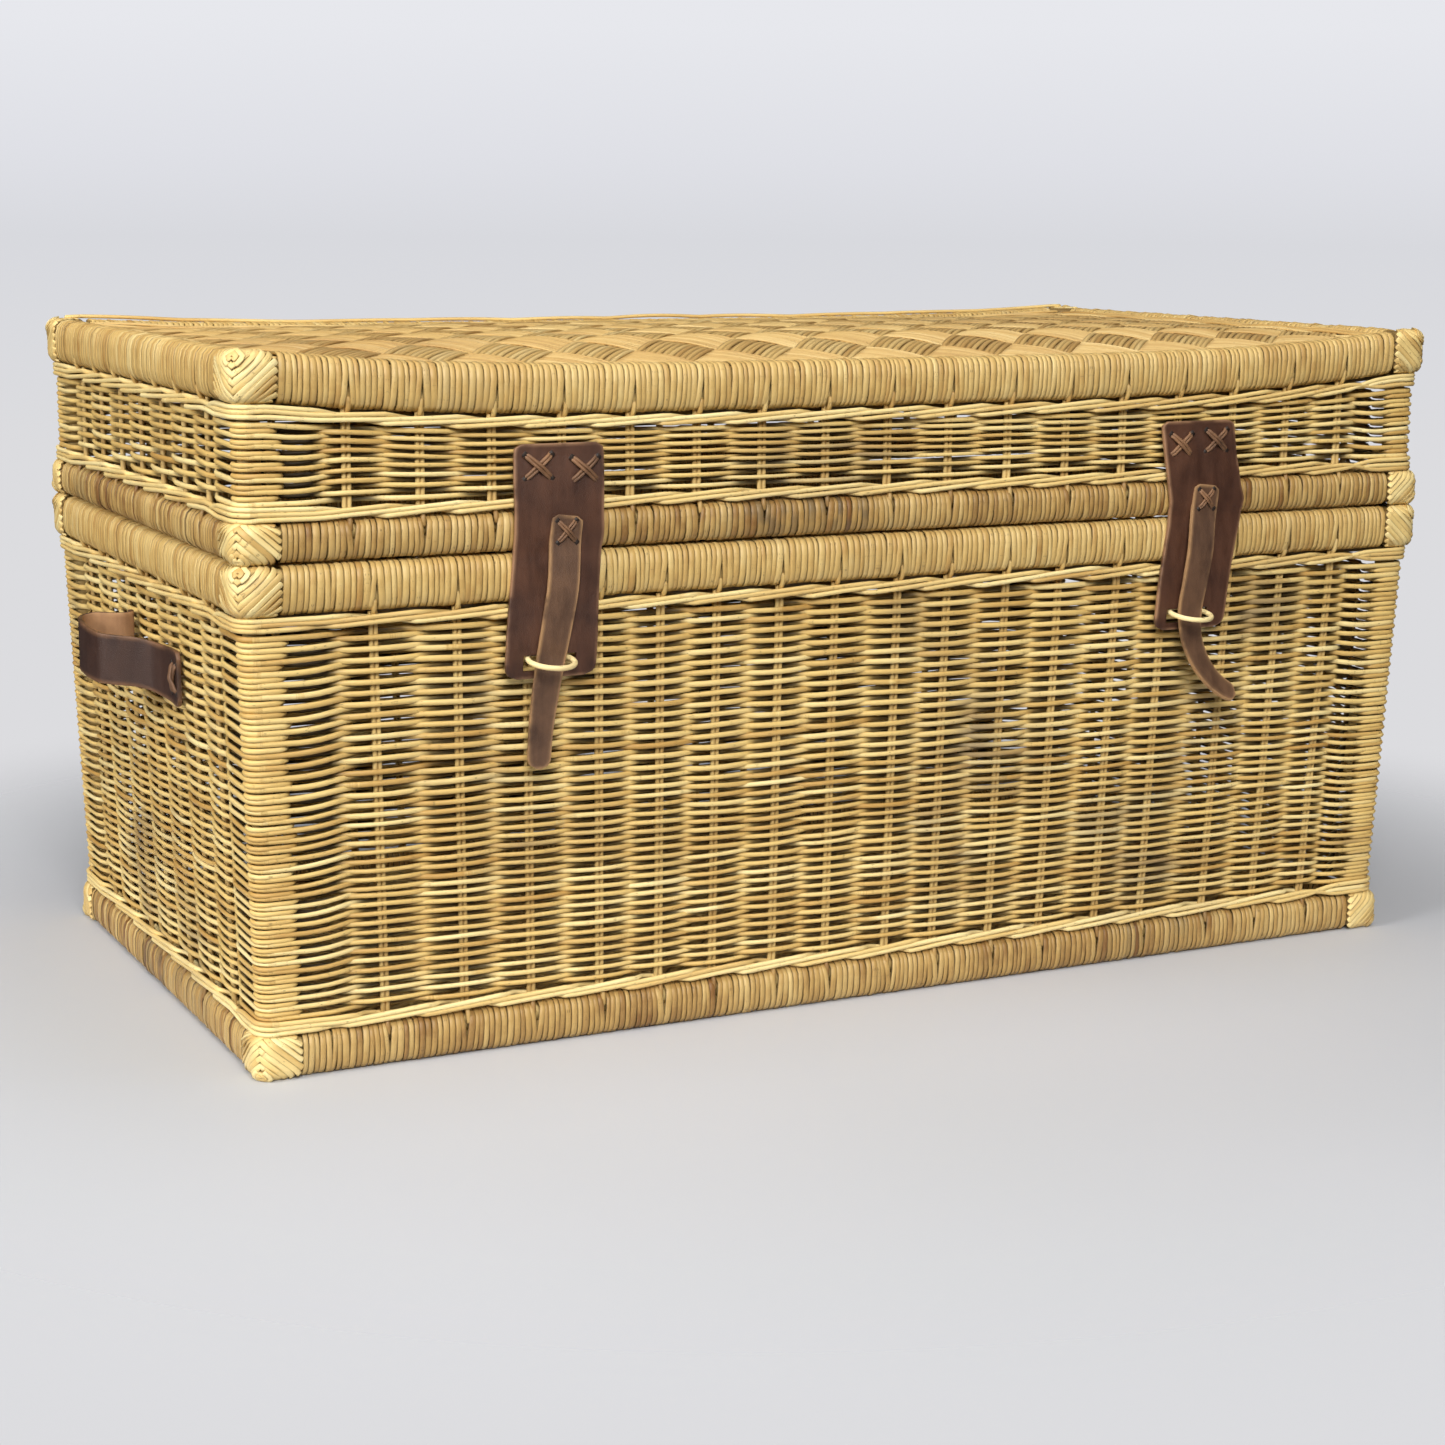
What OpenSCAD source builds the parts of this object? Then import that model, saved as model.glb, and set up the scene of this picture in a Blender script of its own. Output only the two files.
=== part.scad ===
// Rectangular wicker storage trunk: a woven body on a wrapped foot rim, a woven lid that
// turns on two leather strap hinges, two leather hasps with closing straps that pass
// through cane rings, and a leather loop handle at each end.
// Axes: X across the front, Y from front to back, Z up. The origin is on the floor,
// under the middle of the woven walls.

/* [Overall] */
// Width across the woven walls at the lid and at the mouth of the body
wall_w = 900; // [760:10:1000]
// Depth across the woven walls at the lid and at the mouth of the body
wall_d = 466; // [400:2:520]
// Distance that each body wall moves inwards from the mouth to the foot
taper = 9; // [3:1:12]
// Thickness of a woven wall: a stake with a strand on each side of it
wall_t = 9; // [8:0.5:12]

/* [Heights] */
// Height of the foot rim
foot_h = 29; // [26:1:36]
// Height of the woven wall of the body
body_wall_h = 266; // [240:2:300]
// Height of the rim round the mouth of the body
mouth_rim_h = 31.7; // [26:0.1:36]
// Gap between the rim of the body and the rim of the closed lid
seat_gap = 0.6; // [0.4:0.1:2]
// Height of the rim round the bottom of the lid
lid_rim_h = 25.7; // [22:0.1:34]
// Height of the woven wall of the lid
lid_wall_h = 71; // [60:1:90]
// Height of the rim round the top of the lid
top_rim_h = 32; // [26:1:40]

/* [Rims] */
// Depth of a wrapped rim from its outer to its inner face
rim_d = 22; // [20:0.5:28]
// Distance that a rim stands out past the woven wall
rim_proud = 4; // [2:0.5:6]
// Thickness of the cane wrapping
wrap_t = 2.9; // [2:0.1:4]
// Length of a corner knot along each side
knot_l = 30; // [26:1:40]
// Distance that a corner knot stands out past its rim
knot_proud = 1; // [0.4:0.2:2]

/* [Weave] */
// Number of stake pairs in a long wall
stakes_long = 17; // [9:2:21]
// Number of stake pairs in an end wall
stakes_short = 7; // [3:2:9]
// Distance between stake pairs in a long wall
pitch_long = 47.5; // [40:0.5:47.5]
// Distance between stake pairs in an end wall
pitch_short = 53; // [40:0.5:53]
// Diameter of one stake rod
stake_dia = 3; // [2:0.1:4]
// Radius of the woven pillar round a corner post
pillar_r = 12; // [10:0.5:16]
// Distance that a woven pillar stands out past the walls beside it
pillar_proud = 0.5; // [0.3:0.1:1]
// Radius of a corner post
post_r = 7; // [5:0.5:9]
// Height of a twisted wale band
wale_h = 9; // [6:0.5:12]
// Distance that a wale stands out past the wall
wale_t = 3.2; // [2:0.1:3.6]

/* [Panels] */
// Thickness of the plaited lid panel and of the base panel
panel_t = 6; // [4:0.5:9]
// Depth of the lid panel below the top of the lid
panel_drop = 4; // [2:0.5:8]
// Diameter of a rib under the lid panel
rib_dia = 9; // [6:0.5:12]
// Distance between the ribs, and between the slats under the base
rib_pitch = 225; // [150:5:240]
// Thickness of a slat under the base
slat_t = 8; // [5:0.5:12]
// Width of a slat under the base
slat_w = 32; // [20:1:50]

/* [Hasps] */
// Distance of each hasp from the middle of the front
hasp_x = 247; // [150:1:300]
// Width of a hasp plate
hasp_w = 62; // [50:1:80]
// Length of a hasp plate from top edge to bottom edge
hasp_l = 147.5; // [140:0.5:160]
// Thickness of the hasp leather
hasp_t = 3; // [2:0.1:4]
// Length of the laced tab at the top of a hasp
tab_l = 22; // [20:1:26]
// Width of a closing strap
strap_w = 21; // [16:0.5:24]
// Thickness of a closing strap
strap_t = 2.6; // [2:0.1:3]
// Length of a closing strap
strap_l = 162; // [120:1:170]
// Outer diameter of a cane ring
ring_dia = 35.2; // [32:0.2:37]
// Thickness of the cane of a ring
ring_wire = 4.2; // [3:0.1:5]
// Height of a ring above the floor
ring_z = 258.5; // [255:0.5:260]
// Width of the slot that a ring passes through
slot_w = 37; // [36:0.5:42]
// Height of the slot that a ring passes through
slot_h = 11; // [10:0.5:12]

/* [Hinges and handles] */
// Distance of each hinge strap from the middle of the back
hinge_x = 230; // [120:5:320]
// Width of a hinge strap
hinge_w = 50; // [30:1:70]
// Length of each leaf of a hinge strap
leaf_l = 68; // [50:1:90]
// Thickness of the hinge leather
leaf_t = 2.5; // [2:0.1:3.5]
// Height of the middle of a handle
handle_z = 243; // [200:1:250]
// Width of the handle leather
handle_h = 34; // [26:1:40]
// Thickness of the handle leather
handle_t = 3.4; // [2.5:0.1:4]
// Distance that a handle stands out from the wall
handle_out = 42; // [34:1:50]
// Place of the middle of a handle behind the middle of the end wall
handle_y = -32; // [-60:1:60]

/* [Hidden] */
// How far each stake pair of the body's long walls stands from its even place
body_strays = [15.3, 23, 23, 25.5, 22, 15.5, 14.5, 9.3, 10.3, 2.1, 2.2, -1.7, 0, -6.5, 3.1, 2.4, 0.8];
$fn = 48;
clear = 0.4;               // gap between leather and cane
hinge_gap = 2.5;           // gap on each side of a leather fold line

half_w = wall_w / 2;
half_d = wall_d / 2;
mouth_z = foot_h + body_wall_h;
lid_z = mouth_z + mouth_rim_h + seat_gap;
lid_wall_z = lid_z + lid_rim_h;
top_rim_z = lid_wall_z + lid_wall_h;
total_h = top_rim_z + top_rim_h;
rim_y = half_d + rim_proud;              // outer face of the mouth and lid rims
wall_gap = 0.5;                          // gap over and under a leaning wall

tab_y = rim_y + clear;                   // inner face of hasps and hinge leaves
hasp_top = ring_z + hasp_l - 13;
hasp_axis_z = hasp_top - tab_l - hinge_gap - 0.5;
hasp_low = hasp_top - hasp_l;
strap_y = tab_y + hasp_t;                // inner face of a strap head
strap_top = hasp_top - 43;
head_l = 18.5;
strap_axis_z = strap_top - head_l - hinge_gap;
ring_y = half_d + 12;
hinge_z = lid_z - seat_gap / 2;

straw = [0.80, 0.66, 0.38];
pale_straw = [0.86, 0.74, 0.48];
tan_straw = [0.74, 0.56, 0.30];
brown = [0.30, 0.19, 0.15];
grey_brown = [0.36, 0.27, 0.24];
thong = [0.24, 0.13, 0.10];
cream = [0.90, 0.78, 0.55];
pine = [0.72, 0.56, 0.36];

// Inset of the body wall at a height above the floor.
function inset(z) = taper * (mouth_z - z) / body_wall_h;

// A rectangle with round corners, centred on the origin.
module round_rect(w, d, r) {
    square([w - 2 * r, d], center = true);
    square([w, d - 2 * r], center = true);
    for (sx = [-1, 1], sy = [-1, 1])
        translate([sx * (w / 2 - r), sy * (d / 2 - r)]) circle(r);
}

// A straight round rod from point p to point q.
module rod(p, q, r) {
    v = q - p;
    len = norm(v);
    translate(p)
        rotate([0, acos(v[2] / len), atan2(v[1], v[0])])
            cylinder(h = len, r = r);
}

// Places children on side k: 0 front, 1 right, 2 back, 3 left.
module on_side(k) {
    rotate([0, 0, 90 * k]) children();
}

// ---- Wrapped rims ----------------------------------------------------------

// Section of a rim: cane wrapping round two rods, one above the other.
module rim_section(h) {
    rod_r = (h - 2 * wrap_t) / 4;
    difference() {
        round_rect(rim_d, h, 8);
        translate([0, rod_r]) circle(rod_r);
        translate([0, -rod_r]) circle(rod_r);
        square([2 * rod_r, 2 * rod_r], center = true);
    }
}

// Wrapping on side k of a rim whose outer faces are at hx and hy.
module rim_wrap(k, z, h, hx, hy) {
    along = k % 2 == 0 ? hx : hy;
    across = k % 2 == 0 ? hy : hx;
    color(straw)
        on_side(k)
            translate([0, -across + rim_d / 2, z + h / 2])
                rotate([90, 0, 90])
                    linear_extrude(2 * (along - knot_l), center = true)
                        rim_section(h);
}

// The rods inside a rim. Long rods reach into the corner knots, end rods stop short.
module rim_rods(z, h, hx, hy) {
    rod_r = (h - 2 * wrap_t) / 4;
    color(tan_straw)
        for (k = [0:3], s = [-1, 1]) {
            along = k % 2 == 0 ? hx - 6 : hy - knot_l;
            across = k % 2 == 0 ? hy : hx;
            on_side(k)
                translate([0, -across + rim_d / 2, z + h / 2 + s * rod_r])
                    rotate([0, 90, 0])
                        cylinder(h = 2 * along, r = rod_r - 0.05, center = true);
        }
}

// The four knots that close the corners of a rim.
module rim_knots(z, h, hx, hy) {
    size = knot_l + knot_proud;
    color(pale_straw)
        for (sx = [-1, 1], sy = [-1, 1])
            translate([sx * (hx + knot_proud - size / 2), sy * (hy + knot_proud - size / 2), z])
                linear_extrude(h) round_rect(size, size, 9);
}

// ---- Woven walls -----------------------------------------------------------

// Middle of the pillar at the corner with signs sx and sy, at height z.
function corner(sx, sy, z, in) =
    [sx * (half_w - in - pillar_r + pillar_proud), sy * (half_d - in - pillar_r + pillar_proud), z];

// A leaning round column at the corner with signs sx and sy, from z0 to z1.
module pillar(sx, sy, z0, z1, in, r) {
    rod(corner(sx, sy, z0, in), corner(sx, sy, z1, 0), r);
}

// The flat woven panel on side k between the corner pillars.
module wall_panel(k, z0, z1, in) {
    along = (k % 2 == 0 ? half_w : half_d) - pillar_r;
    across = k % 2 == 0 ? half_d : half_w;
    h = z1 - z0;
    lean = atan(in / h);
    on_side(k)
        translate([0, -across + in + wall_t, z0])
            rotate([lean, 0, 0])
                rotate([90, 0, 0])
                    linear_extrude(wall_t)
                        polygon([
                            [-along + in, 0], [along - in, 0],
                            [along, h / cos(lean)], [-along, h / cos(lean)]
                        ]);
}

// A long wall with the woven pillars at its two ends.
module long_wall(k, z0, z1, in) {
    sy = k == 0 ? -1 : 1;
    color(straw) {
        wall_panel(k, z0, z1, in);
        for (sx = [-1, 1]) pillar(sx, sy, z0, z1, in, pillar_r);
    }
}

// An end wall, cut back round the pillars of the long walls.
module end_wall(k, z0, z1, in) {
    color(straw)
        difference() {
            wall_panel(k, z0, z1, in);
            for (sx = [-1, 1], sy = [-1, 1])
                pillar(sx, sy, z0 - 1, z1 + 1, in, pillar_r + 0.15);
        }
}

// The four corner posts inside the pillars.
module posts(z0, z1, in) {
    color(tan_straw)
        for (sx = [-1, 1], sy = [-1, 1]) pillar(sx, sy, z0, z1, in, post_r);
}

// Pairs of stakes in all four walls, where strays moves those of the long walls sideways.
module stake_set(z0, z1, in, strays = []) {
    color(tan_straw)
        for (k = [0:3]) {
            count = k % 2 == 0 ? stakes_long : stakes_short;
            pitch = k % 2 == 0 ? pitch_long : pitch_short;
            along = k % 2 == 0 ? half_w : half_d;
            y = -(k % 2 == 0 ? half_d : half_w) + wall_t / 2;
            squeeze = (along - in) / along;
            on_side(k)
                for (i = [0:count - 1], s = [-1, 1]) {
                    stray = k % 2 == 0 && i < len(strays) ? strays[i] : 0;
                    x = (i - (count - 1) / 2) * pitch + stray;
                    side = s * (stake_dia / 2 + 0.1);
                    rod([x * squeeze + side, y + in, z0], [x + side, y, z1], stake_dia / 2);
                }
        }
}

// A twisted wale band round all four walls, outside the strands.
module wale(z, in) {
    gap = 0.3;
    inner = pillar_proud + gap;
    color(pale_straw)
        translate([0, 0, z])
            linear_extrude(wale_h)
                difference() {
                    wale_outline(wale_t - in, pillar_r + gap + wale_t - inner);
                    wale_outline(inner - in, pillar_r + gap);
                }
}

// Outline of the walls moved outwards by a distance, with corners of radius r.
module wale_outline(out, r) {
    round_rect(wall_w + 2 * out, wall_d + 2 * out, r);
}

// ---- Panels ----------------------------------------------------------------

module base_slats() {
    inner = half_d - taper + rim_proud - rim_d - clear;
    color(pine)
        for (i = [-1:1])
            translate([i * rib_pitch - slat_w / 2, -inner, 0])
                cube([slat_w, 2 * inner, slat_t]);
}

// A panel that fills a rim whose outer faces are at hx and hy, notched round the knots.
module panel(z, hx, hy) {
    w = 2 * (hx - rim_d - clear);
    d = 2 * (hy - rim_d - clear);
    notch = 2 * (knot_l - rim_d);
    translate([0, 0, z])
        linear_extrude(panel_t) {
            square([w - notch, d], center = true);
            square([w, d - notch], center = true);
        }
}

module base_panel() {
    color(straw)
        panel(slat_t + clear, half_w - taper + rim_proud, half_d - taper + rim_proud);
}

module lid_panel() {
    color(tan_straw)
        panel(total_h - panel_drop - panel_t, half_w + rim_proud, half_d + rim_proud);
}

module lid_ribs() {
    inner = half_d + rim_proud - rim_d - clear;
    z = total_h - panel_drop - panel_t - rib_dia / 2 - clear;
    color(tan_straw)
        for (i = [-1:1])
            translate([i * rib_pitch, 0, z])
                rotate([90, 0, 0])
                    cylinder(h = 2 * inner, d = rib_dia, center = true);
}

// ---- Leather ---------------------------------------------------------------

// A cross of two thongs, w wide and h high, on a face that looks along -Y.
module cross_lacing(w, h) {
    slope = atan2(h, w);
    for (s = [-1, 1])
        rotate([90, s * slope, 0])
            linear_extrude(1.4)
                round_rect(norm([w, h]), 3, 1.4);
}

// A flat leather piece in the plane of the front, w wide from z0 up to z1.
module leather(w, z0, z1, t, r) {
    translate([0, 0, (z0 + z1) / 2])
        rotate([90, 0, 0])
            linear_extrude(t)
                round_rect(w, z1 - z0, r);
}

module hasp_tabs() {
    color(brown)
        for (s = [-1, 1])
            translate([s * hasp_x, -tab_y, 0])
                leather(hasp_w, hasp_axis_z + hinge_gap + 0.5, hasp_top, hasp_t, 2);
}

module hasp_lacings() {
    color(thong)
        for (s = [-1, 1], side = [-1, 1])
            translate([s * hasp_x + side * 15, -tab_y - hasp_t, hasp_top - 12])
                cross_lacing(18, 13);
}

// The swinging part of a hasp, with the slot for its ring.
module hasp(s) {
    slot_z = ring_z - 0.7;
    color(brown)
        translate([s * hasp_x, -tab_y, 0])
            difference() {
                leather(hasp_w, hasp_low, hasp_axis_z - hinge_gap, hasp_t, 6);
                translate([0, 1, 0])
                    leather(slot_w, slot_z - slot_h / 2, slot_z + slot_h / 2, hasp_t + 2, 4);
            }
}

module strap_head(s) {
    color(grey_brown)
        translate([s * hasp_x, -strap_y, 0])
            leather(strap_w, strap_top - head_l, strap_top, strap_t, 2);
}

module strap_lacing(s) {
    color(thong)
        translate([s * hasp_x, -strap_y - strap_t, strap_top - 10])
            cross_lacing(14, 12);
}

// The free tail of a closing strap, which hangs down through its ring.
module strap(s) {
    color(grey_brown)
        translate([s * hasp_x, -strap_y - clear, 0])
            leather(strap_w, strap_top - strap_l, strap_axis_z - hinge_gap, strap_t, 5);
}

module ring(s) {
    wire_r = ring_wire / 2;
    color(cream)
        translate([s * hasp_x, -ring_y, ring_z])
            rotate_extrude()
                translate([ring_dia / 2 - wire_r, 0]) circle(wire_r);
}

// ---- Hinges ----------------------------------------------------------------

module hinge_leaves(z0, z1) {
    color(brown)
        for (s = [-1, 1])
            on_side(2)
                translate([s * hinge_x, -tab_y, 0])
                    leather(hinge_w, z0, z1, leaf_t, 2);
}

module hinge_lacings(z) {
    color(thong)
        for (s = [-1, 1], side = [-1, 1])
            on_side(2)
                translate([s * hinge_x + side * 12, -tab_y - leaf_t, z])
                    cross_lacing(16, 13);
}

// ---- Handles ---------------------------------------------------------------

// Outer wall face beside a handle, and the plan of the leather loop: distance out from
// the wall and distance along it, from the rear end to the front end.
handle_wall = half_w - inset(handle_z + handle_h / 2) + clear;
loop_start = 13;
loop = [
    [loop_start, 50], [handle_out - 4, 42], [handle_out, 26],
    [handle_out - 2, -12], [loop_start, -44]
];

function unit(v) = v / norm(v);

// The sideways step from point i of a path to its mitred edge, for a strip of half width 1.
function mitre(points, i) =
    let (
        last = len(points) - 1,
        a = unit(i == 0 ? points[1] - points[0] : points[i] - points[i - 1]),
        b = unit(i == last ? points[last] - points[last - 1] : points[i + 1] - points[i]),
        along = unit(a + b),
        side = [-along[1], along[0]]
    )
    side / (side * [-a[1], a[0]]);

// A strip of leather set on edge along a plan of points.
module strip(points, t, h) {
    ids = [for (i = [0:len(points) - 1]) i];
    back = [for (i = ids) len(points) - 1 - i];
    translate([0, 0, -h / 2])
        linear_extrude(h)
            polygon(concat(
                [for (i = ids) points[i] + mitre(points, i) * t / 2],
                [for (i = back) points[i] - mitre(points, i) * t / 2]
            ));
}

// Places children with +X pointing out of the end wall on side s, at handle height.
module at_handle(s) {
    mirror([s < 0 ? 1 : 0, 0, 0])
        translate([handle_wall, handle_y, handle_z]) children();
}

module handle_loop(s) {
    color(grey_brown) at_handle(s) strip(loop, handle_t, handle_h);
}

// The ends of each handle, flat on the wall.
module handle_ends() {
    color(grey_brown)
        for (s = [-1, 1], end = [[38, 56], [-66, -46]])
            at_handle(s)
                translate([0, end[0], -handle_h / 2])
                    cube([2.6, end[1] - end[0], handle_h]);
}

module handle_lacings() {
    color(thong)
        for (s = [-1, 1], y = [47, -56])
            at_handle(s)
                translate([2.6, y, 0])
                    rotate([0, 0, 90]) cross_lacing(13, 16);
}

// ---- The trunk -------------------------------------------------------------

foot_x = half_w - taper + rim_proud;
foot_y = half_d - taper + rim_proud;
rim_x = half_w + rim_proud;
body_z0 = foot_h + wall_gap;
body_z1 = mouth_z - wall_gap;
lid_z0 = lid_wall_z + wall_gap;
lid_z1 = top_rim_z - wall_gap;
leaf_low = hinge_z - hinge_gap;
leaf_high = hinge_z + hinge_gap;

base_slats();
base_panel();
rim_rods(0, foot_h, foot_x, foot_y);  // foot_rim_rods
rim_wrap(0, 0, foot_h, foot_x, foot_y);  // foot_rim_wrap_front
rim_wrap(2, 0, foot_h, foot_x, foot_y);  // foot_rim_wrap_back
for (k = [1, 3]) rim_wrap(k, 0, foot_h, foot_x, foot_y);  // foot_rim_wrap_sides
rim_knots(0, foot_h, foot_x, foot_y);  // foot_rim_knots
posts(body_z0, body_z1, taper);  // corner_posts
stake_set(foot_h, mouth_z, taper, body_strays);  // body_stakes
long_wall(0, body_z0, body_z1, taper);  // body_weave_front
long_wall(2, body_z0, body_z1, taper);  // body_weave_back
end_wall(3, body_z0, body_z1, taper);  // body_weave_left
end_wall(1, body_z0, body_z1, taper);  // body_weave_right
wale(foot_h, inset(foot_h + wale_h));  // body_lower_wale
wale(mouth_z - wale_h, 0);  // body_upper_wale
rim_rods(mouth_z, mouth_rim_h, rim_x, rim_y);  // mouth_rim_rods
rim_wrap(0, mouth_z, mouth_rim_h, rim_x, rim_y);  // mouth_rim_wrap_front
rim_wrap(2, mouth_z, mouth_rim_h, rim_x, rim_y);  // mouth_rim_wrap_back
for (k = [1, 3]) rim_wrap(k, mouth_z, mouth_rim_h, rim_x, rim_y);  // mouth_rim_wrap_sides
rim_knots(mouth_z, mouth_rim_h, rim_x, rim_y);  // mouth_rim_knots
ring(-1);  // ring_left
ring(1);  // ring_right
handle_ends();
handle_lacings();
handle_loop(-1);  // handle_left
handle_loop(1);  // handle_right
hinge_leaves(leaf_low - leaf_l, leaf_low);  // hinge_lower_leaves
hinge_lacings(leaf_low - leaf_l + 13);  // hinge_lower_lacings
hinge_leaves(leaf_high, leaf_high + leaf_l);  // hinge_upper_leaves
hinge_lacings(leaf_high + leaf_l - 13);  // hinge_upper_lacings
rim_rods(lid_z, lid_rim_h, rim_x, rim_y);  // lid_rim_rods
rim_wrap(0, lid_z, lid_rim_h, rim_x, rim_y);  // lid_rim_wrap_front
rim_wrap(2, lid_z, lid_rim_h, rim_x, rim_y);  // lid_rim_wrap_back
for (k = [1, 3]) rim_wrap(k, lid_z, lid_rim_h, rim_x, rim_y);  // lid_rim_wrap_sides
rim_knots(lid_z, lid_rim_h, rim_x, rim_y);  // lid_rim_knots
posts(lid_z0, lid_z1, 0);  // lid_posts
stake_set(lid_wall_z, top_rim_z, 0);  // lid_stakes
long_wall(0, lid_z0, lid_z1, 0);  // lid_weave_front
long_wall(2, lid_z0, lid_z1, 0);  // lid_weave_back
end_wall(3, lid_z0, lid_z1, 0);  // lid_weave_left
end_wall(1, lid_z0, lid_z1, 0);  // lid_weave_right
wale(lid_wall_z, 0);  // lid_lower_wale
wale(top_rim_z - wale_h, 0);  // lid_upper_wale
rim_rods(top_rim_z, top_rim_h, rim_x, rim_y);  // top_rim_rods
rim_wrap(0, top_rim_z, top_rim_h, rim_x, rim_y);  // top_rim_wrap_front
rim_wrap(2, top_rim_z, top_rim_h, rim_x, rim_y);  // top_rim_wrap_back
for (k = [1, 3]) rim_wrap(k, top_rim_z, top_rim_h, rim_x, rim_y);  // top_rim_wrap_sides
rim_knots(top_rim_z, top_rim_h, rim_x, rim_y);  // top_rim_knots
lid_ribs();
lid_panel();
hasp_tabs();
hasp_lacings();
hasp(-1);  // hasp_left
hasp(1);  // hasp_right
strap_head(-1);  // strap_head_left
strap_head(1);  // strap_head_right
strap_lacing(-1);  // strap_lacing_left
strap_lacing(1);  // strap_lacing_right
strap(-1);  // strap_left
strap(1);  // strap_right
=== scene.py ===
"""Looks of a rectangular wicker storage trunk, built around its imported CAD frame.

Woven cane walls stand between rims that are wrapped in split cane and closed by plaited
corner knots. A plaited panel fills the lid. The hasps, closing straps, hinge straps and
end handles are leather, laced on with thongs. All lengths are in metres.
"""

import logging
import math
from dataclasses import dataclass, field
from enum import Enum

import bpy
import numpy as np
from mathutils import Matrix, Vector


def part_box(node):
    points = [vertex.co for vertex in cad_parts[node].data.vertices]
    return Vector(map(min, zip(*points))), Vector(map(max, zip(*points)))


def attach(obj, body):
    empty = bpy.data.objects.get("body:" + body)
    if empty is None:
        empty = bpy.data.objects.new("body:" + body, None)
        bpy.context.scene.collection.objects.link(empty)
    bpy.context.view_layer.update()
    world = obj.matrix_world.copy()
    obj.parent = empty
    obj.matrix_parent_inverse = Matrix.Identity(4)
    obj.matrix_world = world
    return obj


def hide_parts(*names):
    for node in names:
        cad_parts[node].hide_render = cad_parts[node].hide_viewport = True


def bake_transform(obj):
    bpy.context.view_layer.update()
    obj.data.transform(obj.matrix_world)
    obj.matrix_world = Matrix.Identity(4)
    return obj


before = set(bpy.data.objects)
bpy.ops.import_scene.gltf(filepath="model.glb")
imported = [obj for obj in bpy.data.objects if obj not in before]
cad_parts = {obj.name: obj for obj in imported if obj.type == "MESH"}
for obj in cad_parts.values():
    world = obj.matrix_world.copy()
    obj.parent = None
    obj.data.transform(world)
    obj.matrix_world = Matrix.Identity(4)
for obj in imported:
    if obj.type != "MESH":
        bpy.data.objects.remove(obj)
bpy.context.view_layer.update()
LOG = logging.getLogger("trunk")
Array = np.ndarray
Colour = tuple[float, float, float]

MILLIMETRE = 0.001
EVEN_STAKES = {0: np.arange(-8, 9) * 0.0475, 1: np.arange(-3, 4) * 0.053}
STRAY_MM = (15.3, 23, 23, 25.5, 22, 15.5, 14.5, 9.3, 10.3, 2.1, 2.2, -1.7, 0, -6.5, 3.1, 2.4, 0.8)
STAKES = {
    "trunk": {0: EVEN_STAKES[0] + np.array(STRAY_MM) * MILLIMETRE, 1: EVEN_STAKES[1]},
    "lid": EVEN_STAKES,
}  # where the stake pairs stand in long walls (0) and end walls (1) of each body
WALL_THICK = 0.009
PILLAR_PROUD = 0.0005
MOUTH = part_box("body_stakes")[1].z
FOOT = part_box("body_stakes")[0].z
LID_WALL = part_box("lid_lower_wale")[0].z
TOP_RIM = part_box("top_rim_wrap_front")[0].z
LID_SAG = 0.0125  # at the middle of the front
BACK_SAG_SHARE = 0.45
SAG_REACH = 0.43  # where the sag ends, along the front
UP = np.array([0, 0, 1.0])
FORWARD = np.array([0, -1.0, 0])
RIGHT = np.array([1.0, 0, 0])


# ---- Small tools -----------------------------------------------------------------------


def srgb(red: int, green: int, blue: int) -> Colour:
    """A colour given in display values, as linear light."""
    parts = (value / 255 for value in (red, green, blue))
    return tuple(p / 12.92 if p <= 0.04045 else ((p + 0.055) / 1.055) ** 2.4 for p in parts)


def ease(value: Array | float, start: float, end: float) -> Array:
    """A smooth step from 0 at start to 1 at end.

    Args:
        value: The numbers to step.
        start: Where the step is still 0.
        end: Where the step has reached 1.

    Returns:
        The stepped numbers.
    """
    part = np.clip((np.asarray(value, float) - start) / (end - start), 0, 1)
    return part * part * (3 - 2 * part)


def sag(points: Array) -> None:
    """Lets the middle of the lid's upper edge hang down, more at the front than at the back.

    Args:
        points: The points to lower, changed in place.
    """
    x, y, z = points.T
    along = np.clip(1 - (x / SAG_REACH) ** 4, 0, 1)
    side = np.where(y < 0, 1.0, BACK_SAG_SHARE) * ease(np.abs(y), 0.10, 0.205)
    points[:, 2] -= LID_SAG * along * side * ease((z - LID_WALL) / (TOP_RIM - LID_WALL), 0, 1)


def unit(vectors: Array) -> Array:
    """Vectors of length one along the last axis."""
    length = np.linalg.norm(vectors, axis=-1, keepdims=True)
    return vectors / np.maximum(length, 1e-12)


def deselect() -> None:
    """Leaves nothing selected, in object mode."""
    if bpy.context.object and bpy.context.object.mode != "OBJECT":
        bpy.ops.object.mode_set(mode="OBJECT")
    bpy.ops.object.select_all(action="DESELECT")


def pick(*pieces: bpy.types.Object) -> None:
    """Selects only these pieces, with the first one active."""
    deselect()
    for piece in pieces:
        piece.select_set(True)
    bpy.context.view_layer.objects.active = pieces[0]


def settle(piece: bpy.types.Object) -> bpy.types.Object:
    """Moves a piece's place, turn and size into its mesh.

    Args:
        piece: The object, at any place and size.

    Returns:
        The same object.
    """
    pick(piece)
    bpy.ops.object.transform_apply(location=True, rotation=True, scale=True)
    return piece


def apply_all(piece: bpy.types.Object) -> bpy.types.Object:
    """Applies every modifier of a piece, in order.

    Args:
        piece: The object that has the modifiers.

    Returns:
        The same object.
    """
    pick(piece)
    for modifier in list(piece.modifiers):
        bpy.ops.object.modifier_apply(modifier=modifier.name)
    return piece


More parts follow.
